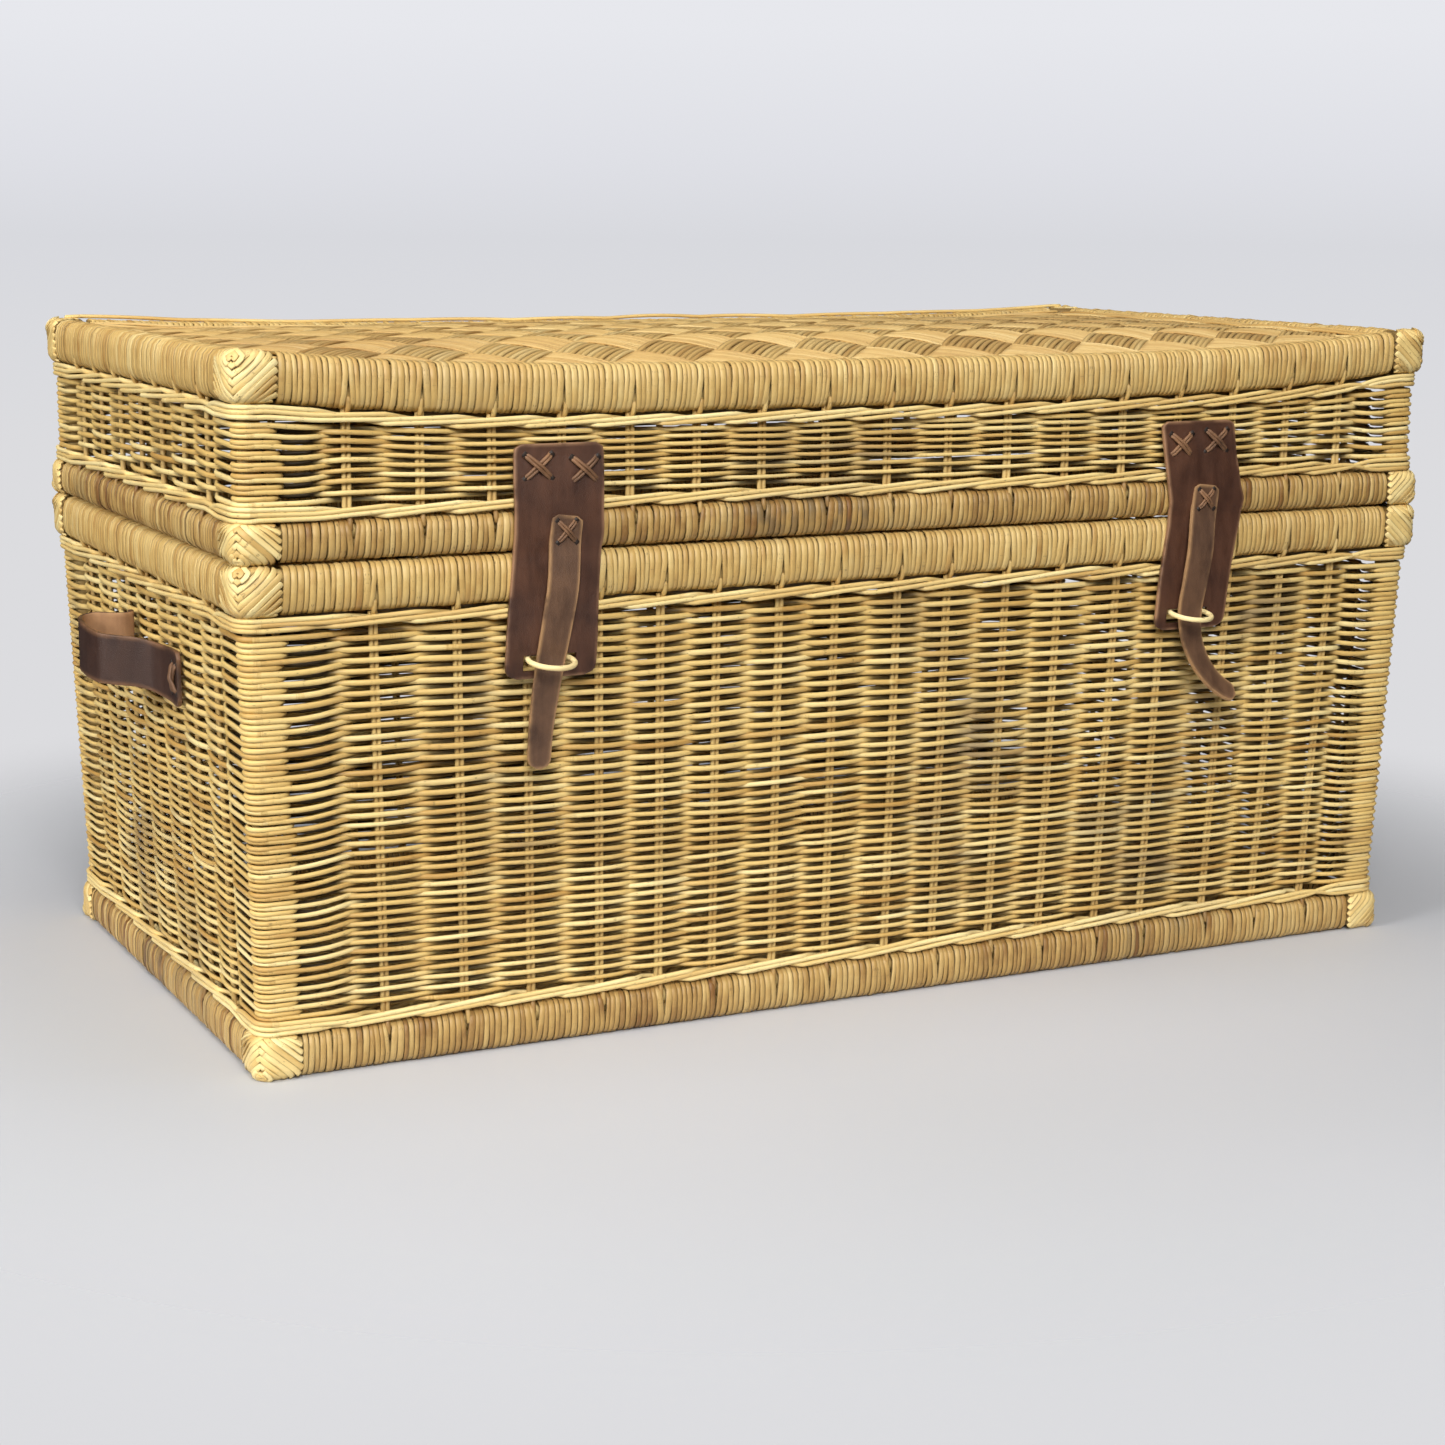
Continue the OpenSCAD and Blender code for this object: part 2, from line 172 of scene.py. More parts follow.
class Side(Enum):
    """One side of the trunk."""

    FRONT = 0
    RIGHT = 1
    BACK = 2
    LEFT = 3

    @property
    def along(self) -> Array:
        """The direction to the right, for someone who looks at this side."""
        turn = self.value * math.pi / 2
        return np.array([round(math.cos(turn)), round(math.sin(turn)), 0.0])

    @property
    def out(self) -> Array:
        """The direction away from the trunk."""
        turn = self.value * math.pi / 2
        return np.array([round(math.sin(turn)), -round(math.cos(turn)), 0.0])

    @property
    def is_end(self) -> int:
        """1 for the two end walls and 0 for the long walls."""
        return self.value % 2


# ---- Strands ---------------------------------------------------------------------------

ROUND = [(0.5 * math.cos(a), 0.5 * math.sin(a)) for a in np.arange(6) * math.pi / 3]
SPLIT = [(0.5, 0.0), (0.22, 0.45), (-0.5, 0.34), (-0.5, -0.34), (0.22, -0.45)]
STRIP = [(0.5, 0.0), (0.44, 0.36), (0.16, 0.5), (-0.5, 0.34), (-0.5, -0.34), (0.16, -0.5),
         (0.44, -0.36)]


@dataclass
class StrandMesh:
    """Strands of cane, swept along their paths and gathered into one mesh."""

    name: str
    points: list = field(default_factory=list)
    grain: list = field(default_factory=list)
    recess: list = field(default_factory=list)
    sags: bool = False
    faces: dict = field(default_factory=dict)
    count: int = 0

    def sweep(self, path: Array, out: Array, width: Array | float, thick: Array | float,
              seed: Array | float, section: list, closed: bool = True,
              recess: Array | float = 0.0, seam_shade: float = 0.0,
              sink: Array | float = 0.0) -> None:
        """Adds strands that all have the same number of rings.

        Args:
            path: The centre lines, as strands by rings by three.
            out: The direction in which each ring's first point looks, of the same shape.
            width: The width across the strand, for all rings or each ring.
            thick: The thickness of the strand in the direction out.
            seed: A number from 0 to 1 for each strand or ring, which sets its tone.
            section: The outline of the strand, as shares of thickness and width.
            closed: True for loops, False for strands with two ends.
            recess: How much painted shade darkens each ring, from 0 to 1.
            seam_shade: How much painted shade darkens the two edges of the section, from 0 to 1.
            sink: How far each ring lies behind the middle of its wall, which sets the painted shade
                on the faces that look towards that middle.
        """
        strands, rings, _ = path.shape
        if closed:
            step = np.roll(path, -1, 1) - np.roll(path, 1, 1)
        else:
            step = np.gradient(path, axis=1)
        tangent = unit(step)
        out = np.broadcast_to(out, path.shape)
        normal = unit(out - (out * tangent).sum(-1, keepdims=True) * tangent)
        across = np.cross(tangent, normal)
        shape = (strands, rings)
        width = np.broadcast_to(width, shape)[..., None, None]
        thick = np.broadcast_to(thick, shape)[..., None, None]
        outline = np.array(section)
        sides = len(outline)
        ring = (normal[:, :, None] * outline[:, :1] * thick
                + across[:, :, None] * outline[:, 1:] * width)
        self.points.append((path[:, :, None] + ring).reshape(-1, 3))
        gap = np.linalg.norm(np.diff(path, axis=1), axis=-1)
        walked = np.concatenate([np.zeros((strands, 1)), np.cumsum(gap, 1)], 1)
        turn = np.abs(np.arctan2(outline[:, 1], outline[:, 0])) / math.pi
        seeds = np.broadcast_to(np.asarray(seed, float), shape)
        full = np.broadcast_to
        grain = np.stack([full(walked[..., None], (strands, rings, sides)),
                          full(turn, (strands, rings, sides)),
                          full(seeds[..., None], (strands, rings, sides))], -1)
        self.grain.append(grain.reshape(-1, 3))
        # Painted shade: the colour is darkened by the given share, at the two edges of the section,
        # and on the faces that look towards the middle of the wall where the strand lies off it.
        shade_share = np.broadcast_to(np.asarray(recess, float), shape)[..., None]
        edge = seam_shade * ease(np.abs(outline[:, 1]), 0.38, 0.5)
        hidden = np.broadcast_to(np.asarray(sink, float), shape)[..., None] * outline[:, 0]
        edge = edge + ease(hidden, 0.0, 0.0011)
        self.recess.append(np.clip(shade_share + edge, 0, 1).reshape(-1))
        index = self.count + np.arange(strands * rings * sides).reshape(strands, rings, sides)
        start = index if closed else index[:, :-1]
        after = np.roll(index, -1, 1) if closed else index[:, 1:]
        quads = np.stack([start, np.roll(start, -1, 2), np.roll(after, -1, 2), after], -1)
        self.faces.setdefault(4, []).append(quads.reshape(-1, 4))
        if not closed:
            self.faces.setdefault(sides, []).append(index[:, 0, ::-1])
            self.faces.setdefault(sides, []).append(index[:, -1])
        self.count += strands * rings * sides

    def tapered(self, path: Array, out: Array, width: float, thick: float, seed: float,
                section: list, tip: float = 0.55, seam_shade: float = 0.0,
                recess: float = 0.0) -> None:
        """Adds one strand with two rounded ends.

        Args:
            path: The centre line, as rings by three.
            out: The direction in which the strand's first point looks.
            width: The width across the strand.
            thick: The thickness of the strand.
            seed: A number from 0 to 1 that sets the strand's tone.
            section: The outline of the strand.
            tip: The share of the size that is left at the very ends.
            seam_shade: How much painted shade darkens the two edges of the strand.
            recess: How much painted shade darkens the whole strand.
        """
        first, last = path[0], path[-1]
        head = first + (first - path[1]) / np.linalg.norm(first - path[1]) * thick * 0.35
        tail = last + (last - path[-2]) / np.linalg.norm(last - path[-2]) * thick * 0.35
        line = np.vstack([head, path, tail])[None]
        size = np.ones(line.shape[1])
        size[[0, -1]] = tip
        out = np.broadcast_to(out, path.shape)
        look = np.vstack([out[:1], out, out[-1:]])[None]
        self.sweep(line, look, width * size, thick * size, seed, section, closed=False,
                   recess=recess, seam_shade=seam_shade)

    def build(self) -> bpy.types.Object:
        """Makes the piece.

        Returns:
            The new object, at the origin, with a grain attribute of run, turn and tone.
        """
        mesh = bpy.data.meshes.new(self.name)
        points = np.concatenate(self.points)
        points[:, 2] = np.maximum(points[:, 2], 0.0)
        if self.sags:
            sag(points)
        mesh.vertices.add(len(points))
        mesh.vertices.foreach_set("co", points.astype(np.float32).ravel())
        groups = [(size, np.concatenate(parts)) for size, parts in self.faces.items()]
        loops = np.concatenate([part.ravel() for _, part in groups]).astype(np.int32)
        sizes = np.concatenate([np.full(len(part), size) for size, part in groups])
        mesh.loops.add(len(loops))
        mesh.loops.foreach_set("vertex_index", loops)
        mesh.polygons.add(len(sizes))
        starts = np.concatenate([[0], np.cumsum(sizes)[:-1]]).astype(np.int32)
        mesh.polygons.foreach_set("loop_start", starts)
        mesh.update(calc_edges=True)
        mesh.shade_smooth()
        attribute = mesh.attributes.new("grain", "FLOAT_VECTOR", "POINT")
        attribute.data.foreach_set("vector", np.concatenate(self.grain).astype(np.float32).ravel())
        # The attribute that carries the painted shade, read by the cane and leather finishes.
        attribute = mesh.attributes.new("recess", "FLOAT", "POINT")
        attribute.data.foreach_set("value", np.concatenate(self.recess).astype(np.float32))
        piece = bpy.data.objects.new(self.name, mesh)
        bpy.context.scene.collection.objects.link(piece)
        return piece


# ---- Finishes --------------------------------------------------------------------------


class Signal:
    """A shader socket that takes part in Python expressions."""

    def __init__(self, nodes: "Nodes", socket: bpy.types.NodeSocket) -> None:
        """Keeps the socket and the node tree that it belongs to."""
        self.nodes = nodes
        self.socket = socket

    def _with(self, operation: str, *values: "Signal | float") -> "Signal":
        """A Math node on these values."""
        inputs = dict(enumerate(values))
        return self.nodes.add("ShaderNodeMath", {"operation": operation}, inputs)

    def __add__(self, other: "Signal | float") -> "Signal":
        """This and another value together."""
        return self._with("ADD", self, other)

    __radd__ = __add__

    def __sub__(self, other: "Signal | float") -> "Signal":
        """This value less another."""
        return self._with("SUBTRACT", self, other)

    def __rsub__(self, other: float) -> "Signal":
        """A number less this value."""
        return self._with("SUBTRACT", other, self)

    def __mul__(self, other: "Signal | float") -> "Signal":
        """This value times another."""
        return self._with("MULTIPLY", self, other)

    __rmul__ = __mul__

    def step(self, start: float, end: float) -> "Signal":
        """0 below start and 1 above end, smooth between.

        Args:
            start: The value that becomes 0.
            end: The value that becomes 1.

        Returns:
            The step.
        """
        settings = {"interpolation_type": "SMOOTHSTEP"}
        inputs = {"Value": self, "From Min": start, "From Max": end}
        return self.nodes.add("ShaderNodeMapRange", settings, inputs)


class Nodes:
    """The nodes of one material."""

    def __init__(self, name: str) -> None:
        """Starts an empty material with that name.

        Args:
            name: The material's name.
        """
        self.material = bpy.data.materials.new(name)
        self.material.use_nodes = True
        self.tree = self.material.node_tree
        self.tree.nodes.clear()

    def add(self, kind: str, settings: dict | None = None, inputs: dict | None = None,
            output: str | int = 0) -> Signal:
        """Adds a node.

        Args:
            kind: The node's type.
            settings: Its properties, set first. "stops" fills a colour ramp.
            inputs: Values or signals for its sockets, by name or number.
            output: The socket to return.

        Returns:
            The chosen output.
        """
        node = self.tree.nodes.new(kind)
        for key, value in (settings or {}).items():
            if key == "stops":
                self._fill(node.color_ramp, value)
            else:
                setattr(node, key, value)
        for key, value in (inputs or {}).items():
            if isinstance(value, Signal):
                self.tree.links.new(value.socket, node.inputs[key])
            elif isinstance(value, tuple) and len(value) == 3 and node.inputs[key].type == "RGBA":
                node.inputs[key].default_value = (*value, 1)
            else:
                node.inputs[key].default_value = value
        if not len(node.outputs):
            return None
        return Signal(self, node.outputs[output])

    @staticmethod
    def _fill(ramp: bpy.types.ColorRamp, stops: list) -> None:
        """Sets the places and colours of a ramp."""
        while len(ramp.elements) < len(stops):
            ramp.elements.new(1.0)
        for element, (place, colour) in zip(ramp.elements, stops):
            element.position = place
            element.color = (*colour, 1)

    def grain(self) -> tuple[Signal, Signal, Signal]:
        """The run, turn and tone of the strand at each point.

        Returns:
            The three signals, from the grain attribute.
        """
        vector = self.add("ShaderNodeAttribute", {"attribute_name": "grain"}, output="Vector")
        split = self.add("ShaderNodeSeparateXYZ", None, {0: vector})
        outputs = split.socket.node.outputs
        return tuple(Signal(self, socket) for socket in outputs)

    def place(self) -> Signal:
        """Object coordinates."""
        return self.add("ShaderNodeTexCoord", output="Object")

    def point(self, x: Signal | float, y: Signal | float, z: Signal | float) -> Signal:
        """A vector from three values."""
        return self.add("ShaderNodeCombineXYZ", None, {0: x, 1: y, 2: z})

    def noise(self, vector: Signal, scale: float, detail: float = 2.0,
              stretch: tuple[float, float, float] = (1, 1, 1)) -> Signal:
        """Smooth noise of about 0 to 1.

        Args:
            vector: Where the noise is read.
            scale: Cells for each metre, or for each unit of the vector.
            detail: How many finer layers it has.
            stretch: The scale along each axis.

        Returns:
            The noise.
        """
        if stretch != (1, 1, 1):
            vector = self.add("ShaderNodeMapping", None, {0: vector, "Scale": stretch})
        inputs = {"Vector": vector, "Scale": scale, "Detail": detail, "Roughness": 0.55}
        return self.add("ShaderNodeTexNoise", None, inputs)

    def ramp(self, value: Signal, stops: list) -> Signal:
        """A colour for each value."""
        return self.add("ShaderNodeValToRGB", {"stops": stops}, {0: value})

    def mix(self, share: Signal, first: Signal, second: Signal | Colour) -> Signal:
        """Two colours mixed by a share."""
        return self.add("ShaderNodeMix", {"data_type": "RGBA"}, {0: share, 6: first, 7: second}, 2)

    def finish(self, colour: Signal, roughness: Signal | float, height: Signal | None = None,
               depth: float = 0.0003, coat: float = 0.0) -> bpy.types.Material:
        """Closes the material with its surface shader.

        Args:
            colour: The base colour.
            roughness: The roughness.
            height: What the bump follows, or None.
            depth: How deep the bump is.
            coat: The weight of a thin clear coat.

        Returns:
            The material.
        """
        inputs = {"Base Color": colour, "Roughness": roughness, "Coat Weight": coat,
                  "Coat Roughness": 0.35}
        if height is not None:
            bump = {"Height": height, "Distance": depth, "Strength": 1.0}
            inputs["Normal"] = self.add("ShaderNodeBump", None, bump)
        shader = self.add("ShaderNodeBsdfPrincipled", None, inputs)
        self.add("ShaderNodeOutputMaterial", None, {"Surface": shader})
        return self.material


@dataclass(frozen=True)
class CaneFinish:
    """Natural cane: a tone for each strand, fibres along it, specks and grey patches."""

    name: str
    deep: Colour
    middle: Colour
    pale: Colour
    stain: Colour
    stain_share: float = 0.5
    roughness: float = 0.48
    spread: float = 0.55

    def material(self) -> bpy.types.Material:
        """The cane's material, which reads the grain attribute.

        Returns:
            The material, made anew.
        """
        nodes = Nodes(self.name)
        run, turn, tone = nodes.grain()
        slow = nodes.noise(nodes.point(run * 9 + tone * 53, tone * 77, 0.0), 1.0, 1.0)
        fibre = nodes.noise(nodes.point(run * 70, turn * 11, tone * 191), 1.0, 3.0)
        speck = nodes.noise(nodes.point(run * 330, turn * 6, tone * 117), 1.0, 1.0)
        patch = nodes.noise(nodes.place(), 5.5, 3.0)
        value = tone * self.spread + slow * 0.75 + fibre * 0.3 - (self.spread + 0.05) * 0.5
        stops = [(0.16, self.deep), (0.5, self.middle), (0.86, self.pale)]
        colour = nodes.ramp(value, stops)
        worn = patch.step(0.53, 0.72) * slow.step(0.35, 0.65) * self.stain_share
        colour = nodes.mix(worn, colour, self.stain)
        dark = tuple(part * 0.3 for part in self.deep)
        colour = nodes.mix(speck.step(0.68, 0.76) * 0.5, colour, dark)
        # Painted shade: this attribute darkens the cane nearly to black behind and between strands.
        shade_mask = nodes.add("ShaderNodeAttribute", {"attribute_name": "recess"}, output="Fac")
        colour = nodes.mix(shade_mask * 0.95, colour, tuple(part * 0.07 for part in self.deep))
        height = fibre * 0.6 + speck.step(0.66, 0.78) * -0.5
        return nodes.finish(colour, fibre * 0.2 + (self.roughness - 0.1), height, 0.0004)


@dataclass(frozen=True)
class LeatherFinish:
    """Oiled leather with pores, rubbed patches and paler worn edges."""

    name: str
    dark: Colour
    light: Colour
    edge: Colour
    roughness: float = 0.5

    def material(self) -> bpy.types.Material:
        """The leather's material, which reads the wear attribute.

        Returns:
            The material, made anew.
        """
        nodes = Nodes(self.name)
        place = nodes.place()
        wear = nodes.add("ShaderNodeAttribute", {"attribute_name": "wear"}, output="Fac")
        cloud = nodes.noise(place, 38.0, 4.0)
        rubbed = nodes.noise(place, 160.0, 3.0, (1, 1, 0.25))
        pores = nodes.noise(place, 1500.0, 2.0)
        value = cloud * 0.6 + rubbed * 0.4
        colour = nodes.ramp(value, [(0.3, self.dark), (0.7, self.light)])
        colour = nodes.mix(wear * cloud.step(0.3, 0.6), colour, self.edge)
        # Painted shade: this attribute darkens the thongs nearly to black at the holes they dip
        # into.
        hole = nodes.add("ShaderNodeAttribute", {"attribute_name": "recess"}, output="Fac")
        colour = nodes.mix(hole * 0.95, colour, tuple(part * 0.1 for part in self.dark))
        height = pores * 0.5 + rubbed * 0.35 + cloud * 0.6
        return nodes.finish(colour, rubbed * 0.25 + (self.roughness - 0.12), height, 0.0006, 0.08)


@dataclass(frozen=True)
class WoodFinish:
    """Plain wood or pole with its grain along one axis."""

    name: str
    dark: Colour
    light: Colour
    stretch: tuple[float, float, float]
    roughness: float = 0.6

    def material(self) -> bpy.types.Material:
        """The wood's material, on object coordinates.

        Returns:
            The material, made anew.
        """
        nodes = Nodes(self.name)
        place = nodes.place()
        rings = nodes.noise(place, 1.0, 3.0, self.stretch)
        fine = nodes.noise(place, 4.0, 2.0, self.stretch)
        colour = nodes.ramp(rings * 0.7 + fine * 0.3, [(0.35, self.dark), (0.68, self.light)])
        return nodes.finish(colour, fine * 0.2 + (self.roughness - 0.1), rings + fine * 0.5, 0.0003)


class Finish(Enum):
    """The finishes of the trunk, each with the record's slot as its name."""

    CANE_WALL = CaneFinish("cane_wall", srgb(190, 148, 78), srgb(226, 193, 119),
                           srgb(246, 225, 163), srgb(122, 98, 74), 0.75)
    CANE_RIM = CaneFinish("cane_rim", srgb(174, 132, 70), srgb(206, 172, 105),
                          srgb(226, 200, 138), srgb(142, 116, 84), 0.4, 0.46, 0.4)
    CANE_AGED = CaneFinish("cane_rim", srgb(128, 88, 42), srgb(182, 146, 84),
                           srgb(210, 180, 118), srgb(78, 62, 48), 0.85, 0.48, 0.7)
    CANE_PALE = CaneFinish("cane_pale", srgb(198, 158, 90), srgb(232, 202, 132),
                           srgb(247, 228, 168), srgb(160, 130, 92), 0.35)
    CANE_PLAIT = CaneFinish("cane_plait", srgb(176, 134, 74), srgb(208, 172, 106),
                            srgb(230, 202, 140), srgb(150, 118, 82), 0.4, 0.5, 0.55)
    RATTAN = WoodFinish("rattan_pole", srgb(178, 142, 82), srgb(226, 196, 128), (30, 30, 8))
    PINE = WoodFinish("pine", srgb(186, 144, 92), srgb(222, 186, 132), (60, 3, 60))
    LEATHER_BROWN = LeatherFinish("leather_brown", srgb(52, 27, 15), srgb(92, 57, 38),
                                  srgb(148, 110, 80))
    LEATHER_GREY = LeatherFinish("leather_grey", srgb(62, 40, 27), srgb(114, 82, 58),
                                 srgb(164, 126, 86), 0.55)
    LEATHER_HANDLE = LeatherFinish("leather_grey", srgb(40, 21, 15), srgb(62, 38, 27),
                                   srgb(114, 80, 54), 0.5)
    SUEDE = LeatherFinish("leather_grey", srgb(120, 86, 58), srgb(166, 126, 88),
                          srgb(180, 140, 100), 0.85)
    THONG = LeatherFinish("thong", srgb(80, 53, 34), srgb(152, 110, 75), srgb(170, 128, 90), 0.6)
    CREAM = CaneFinish("cane_cream", srgb(214, 176, 108), srgb(240, 214, 150),
                       srgb(250, 234, 184), srgb(190, 150, 96), 0.2)


MATERIALS: dict[str, bpy.types.Material] = {}


def material(finish: Finish) -> bpy.types.Material:
    """The one material of a finish, made when it is first asked for."""
    if finish.name not in MATERIALS:
        MATERIALS[finish.name] = finish.value.material()
    return MATERIALS[finish.name]


def dress(piece: bpy.types.Object, finish: Finish, body: str | None, *nodes: str) -> None:
    """Gives a piece its finish, its body and the CAD nodes that it stands for.

    Args:
        piece: The finished piece.
        finish: The finish, whose name is the record's slot too.
        body: The CAD body that it rides on, or None where it bends between two.
        nodes: The CAD nodes that it replaces.
    """
    if not piece.data.materials:
        piece.data.materials.append(material(finish))
    if body:
        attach(piece, body)
    if nodes:
        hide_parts(*nodes)
    LOG.info("%s: %d faces", piece.name, len(piece.data.polygons))


# ---- Woven walls -----------------------------------------------------------------------


@dataclass
class WovenWall:
    """A woven wall round the whole trunk, between its lower and its upper rim."""

    label: str
    body: str
    taper: float
    pieces: int
    pitch_low: float
    pitch_high: float
    change: float
    seed: int
    corner: float = 0.0115
    wrap_long: float = 0.031
    wrap_deep: float = 0.020
    lift: float = 0.0028
    strand_high: float = 0.0042
    strand_thick: float = 0.0032
    wave: float = 0.0029
    buried: float = 0.0105

    def __post_init__(self) -> None:
        """Reads the wall's place from the frame."""
        self.half = {0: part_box(f"{self.label}_weave_right")[1].x}
        self.half[1] = -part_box(f"{self.label}_weave_front")[0].y - PILLAR_PROUD
        self.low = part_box(f"{self.label}_lower_wale")[1].z
        self.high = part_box(f"{self.label}_upper_wale")[0].z
        self.draw = np.random.default_rng(self.seed)

    def inset(self, z: Array) -> Array:
        """How far the wall stands inside its mouth at a height."""
        return self.taper * (MOUTH - z) / (MOUTH - FOOT) if self.taper else z * 0

    def rows(self) -> Array:
        """The heights of the rows, tighter low down than high up."""
        heights = [self.low + self.pitch_low * 0.52]
        while True:
            share = float(ease(heights[-1], self.change - 0.02, self.change + 0.02))
            pitch = self.pitch_low + (self.pitch_high - self.pitch_low) * share
            if heights[-1] + pitch > self.high - 0.4 * pitch:
                return np.array(heights)
            heights.append(heights[-1] + pitch)

    def plan(self, outside: bool) -> tuple[Array, Array, Array, Array]:
        """The course of one row round the trunk.

        Args:
            outside: True where the row turns outside the corner posts.

        Returns:
            For each ring: its side's number, the run along that side, the distance out
            from the wall's face, and the angle round the corner, or -1 on the flat.
        """
        middle = -WALL_THICK / 2
        sides, runs, outs, turns = [], [], [], []
        for side in Side:
            end = side.is_end
            half = self.half[end]
            stakes = STAKES[self.body][end]
            base = np.array([self.corner, 0.018, 0.025, 0.032, 0.038, 0.044, 0.05, 0.056, 0.063])
            near, far = (
                base * np.where(base > 0.03, 1 + (room / 0.07 - 1) * (base - 0.03) / 0.04, 1)
                for room in (half + stakes[0], half - stakes[-1]))
            step = np.arange((len(stakes) - 1) * 6 + 1) / 6
            flat = np.interp(step, np.arange(len(stakes)), stakes)
            wave = np.cos(math.pi * step)
            wave = wave * (1.3 - 0.3 * wave * wave)
            sign = -1 if outside else 1
            flat_out = middle + self.wave * wave * sign
            part = ease(-base, -0.066, -0.042)
            if outside:
                corner_out = np.full_like(base, -0.0012)
            else:
                corner_out = -self.buried - 0.0110 * ease(-base, -0.042, -0.024)
            stake_out = middle + self.wave * sign
            end_out = stake_out * (1 - part) + corner_out * part
            run = np.concatenate([near - half, flat, (half - far)[::-1]])
            out = np.concatenate([end_out, flat_out, end_out[::-1]])
            runs += [run, np.full(3, half - self.corner)]
            outs += [out, np.full(3, out[-1])]
            turns += [np.full(len(run), -1.0), np.radians([22.5, 45.0, 67.5])]
            sides += [np.full(len(run) + 3, side.value)]
        join = np.concatenate
        return join(sides), join(runs), join(outs), join(turns)

    def place(self, plan: tuple, z: Array) -> tuple[Array, Array]:
        """Puts a course at given heights.

        Args:
            plan: What the plan method returns.
            z: The heights, as rows by rings.

        Returns:
            The points, and the outward direction at each of them.
        """
        number, run, out, turn = plan
        along = np.stack([side.along for side in Side])[number]
        away = np.stack([side.out for side in Side])[number]
        half = np.where(number % 2, self.half[1], self.half[0])
        wide = np.where(number % 2, self.half[0], self.half[1])
        inset = self.inset(z)
        flat = turn < 0
        radius = self.corner + out
        x = np.where(flat, run * (1 - inset / half),
                     half - inset - self.corner + radius * np.sin(turn))
        y = np.where(flat, wide - inset + out,
                     wide - inset - self.corner + radius * np.cos(turn))
        points = along * x[..., None] + away * y[..., None]
        points[..., 2] = z
        angle = np.where(flat, 0.0, turn)
        look = along * np.sin(angle)[:, None] + away * np.cos(angle)[:, None]
        return points, np.broadcast_to(look, points.shape)

    def wander(self, rows: Array, run: Array) -> Array:
        """How far each row strays up or down along its course.

        Args:
            rows: The rows' heights.
            run: The distance walked at each ring.

        Returns:
            Height offsets, as rows by rings.
        """
        number = np.arange(len(rows))[:, None]
        total = run[-1]
        stray = np.zeros((len(rows), len(run)))
        for waves, size in ((5, 0.0007), (11, 0.0005), (23, 0.0003)):
            phase = self.draw.uniform(0, 6.28)
            drift = self.draw.uniform(0.05, 0.14)
            stray += size * np.sin(2 * math.pi * waves * run / total + phase + drift * number)
        for waves in (13, 31, 47):
            phase = self.draw.uniform(0, 6.28, (len(rows), 1))
            stray += 0.00016 * np.sin(2 * math.pi * waves * run / total + phase)
        calm = ease(rows, self.low, self.low + 0.02) * ease(-rows, -self.high, -self.high + 0.02)
        return stray * calm[:, None]

    def raise_ends(self, plan: tuple, rows: Array) -> Array:
        """The rows climb a little where they leave the corners for the walls.

        Args:
            plan: Side number, place along the side, way out and turn of each ring.
            rows: Heights of the rows.

        Returns:
            What each row rises at each ring, in metres.
        """
        number, run, _, turn = plan
        is_end = number % 2 == 1
        corner = np.where(is_end, self.half[1], self.half[0]) - np.abs(run)
        climb = np.where(is_end, ease(corner, 0.012, 0.09), 1.35 * ease(corner, 0.030, 0.072))
        climb = np.where(turn < 0, climb, 0)
        share = (rows - self.low) / (self.high - self.low)
        return self.lift * climb * (1 - share[:, None] ** 5) * (1 - (1 - share[:, None]) ** 9)

    def build(self) -> None:
        """Makes the rows in a few pieces, one above another."""
        rows = self.rows()
        plans = [self.plan(True), self.plan(False)]
        nodes = [f"{self.label}_weave_{side.name.lower()}" for side in Side]
        names = ["low", "middle", "high"] if self.pieces == 3 else [""]
        size = math.ceil(len(rows) / self.pieces)
        gap = np.diff(rows, append=rows[-1] + self.pitch_high)
        for part, name in enumerate(names):
            mesh = StrandMesh(f"{self.label}_weave_{name}".strip("_"), sags=self.body == "lid")
            chosen = np.arange(part * size, min(len(rows), (part + 1) * size))
            for kind, plan in enumerate(plans):
                picked = chosen[chosen % 2 == kind]
                self.weave(mesh, plan, rows[picked], gap[picked])
                if kind:
                    self.wrap_corners(mesh, rows[picked], gap[picked])
            dress(mesh.build(), Finish.CANE_WALL, self.body, *nodes)

    def weave(self, mesh: StrandMesh, plan: tuple, rows: Array, gap: Array) -> None:
        """Adds rows that share one course.

        Args:
            mesh: Where the strands go.
            plan: Their course.
            rows: Their heights.
            gap: The distance from each row to the next.
        """
        flat, _ = self.place(plan, np.zeros((1, len(plan[0]))) + MOUTH)
        run = np.concatenate([[0], np.cumsum(np.linalg.norm(np.diff(flat[0], axis=0), axis=1))])
        z = rows[:, None] + self.wander(rows, run) + self.raise_ends(plan, rows)
        points, look = self.place(plan, z)
        thick = gap[:, None] * self.draw.uniform(0.92, 1.04, (len(rows), 1))
        for waves in (7, 17):
            phase = self.draw.uniform(0, 6.28, (len(rows), 1))
            thick = thick * (1 + 0.035 * np.sin(2 * math.pi * waves * run / run[-1] + phase))
        dense = np.array([1.0, 1.06, 1.24, 1.02])[plan[0]]  # front, right, back, left
        width = np.minimum(thick * 1.10, self.strand_high) * dense
        thick = np.minimum(thick, self.strand_thick)
        # Painted shade: a row that passes behind the stakes gets its outer face painted dark, the
        # more the deeper it lies; a row in front gets its inner face darkened.
        sink = -WALL_THICK / 2 - plan[2]
        mesh.sweep(points, look, width, thick, self.tones(len(rows), run), ROUND, sink=sink)

    def tones(self, count: int, run: Array) -> Array:
        """A tone for each ring, which changes where one strand takes over from another.

        Args:
            count: How many rows there are.
            run: The distance walked at each ring.

        Returns:
            Tones, as rows by rings.
        """
        tones = np.zeros((count, len(run)))
        for row in range(count):
            joins = np.sort(self.draw.uniform(0, run[-1], 5))
            choice = self.draw.beta(2.2, 2.2, 6)
            choice[5] = choice[0]
            tones[row] = choice[np.searchsorted(joins, run)]
        return tones

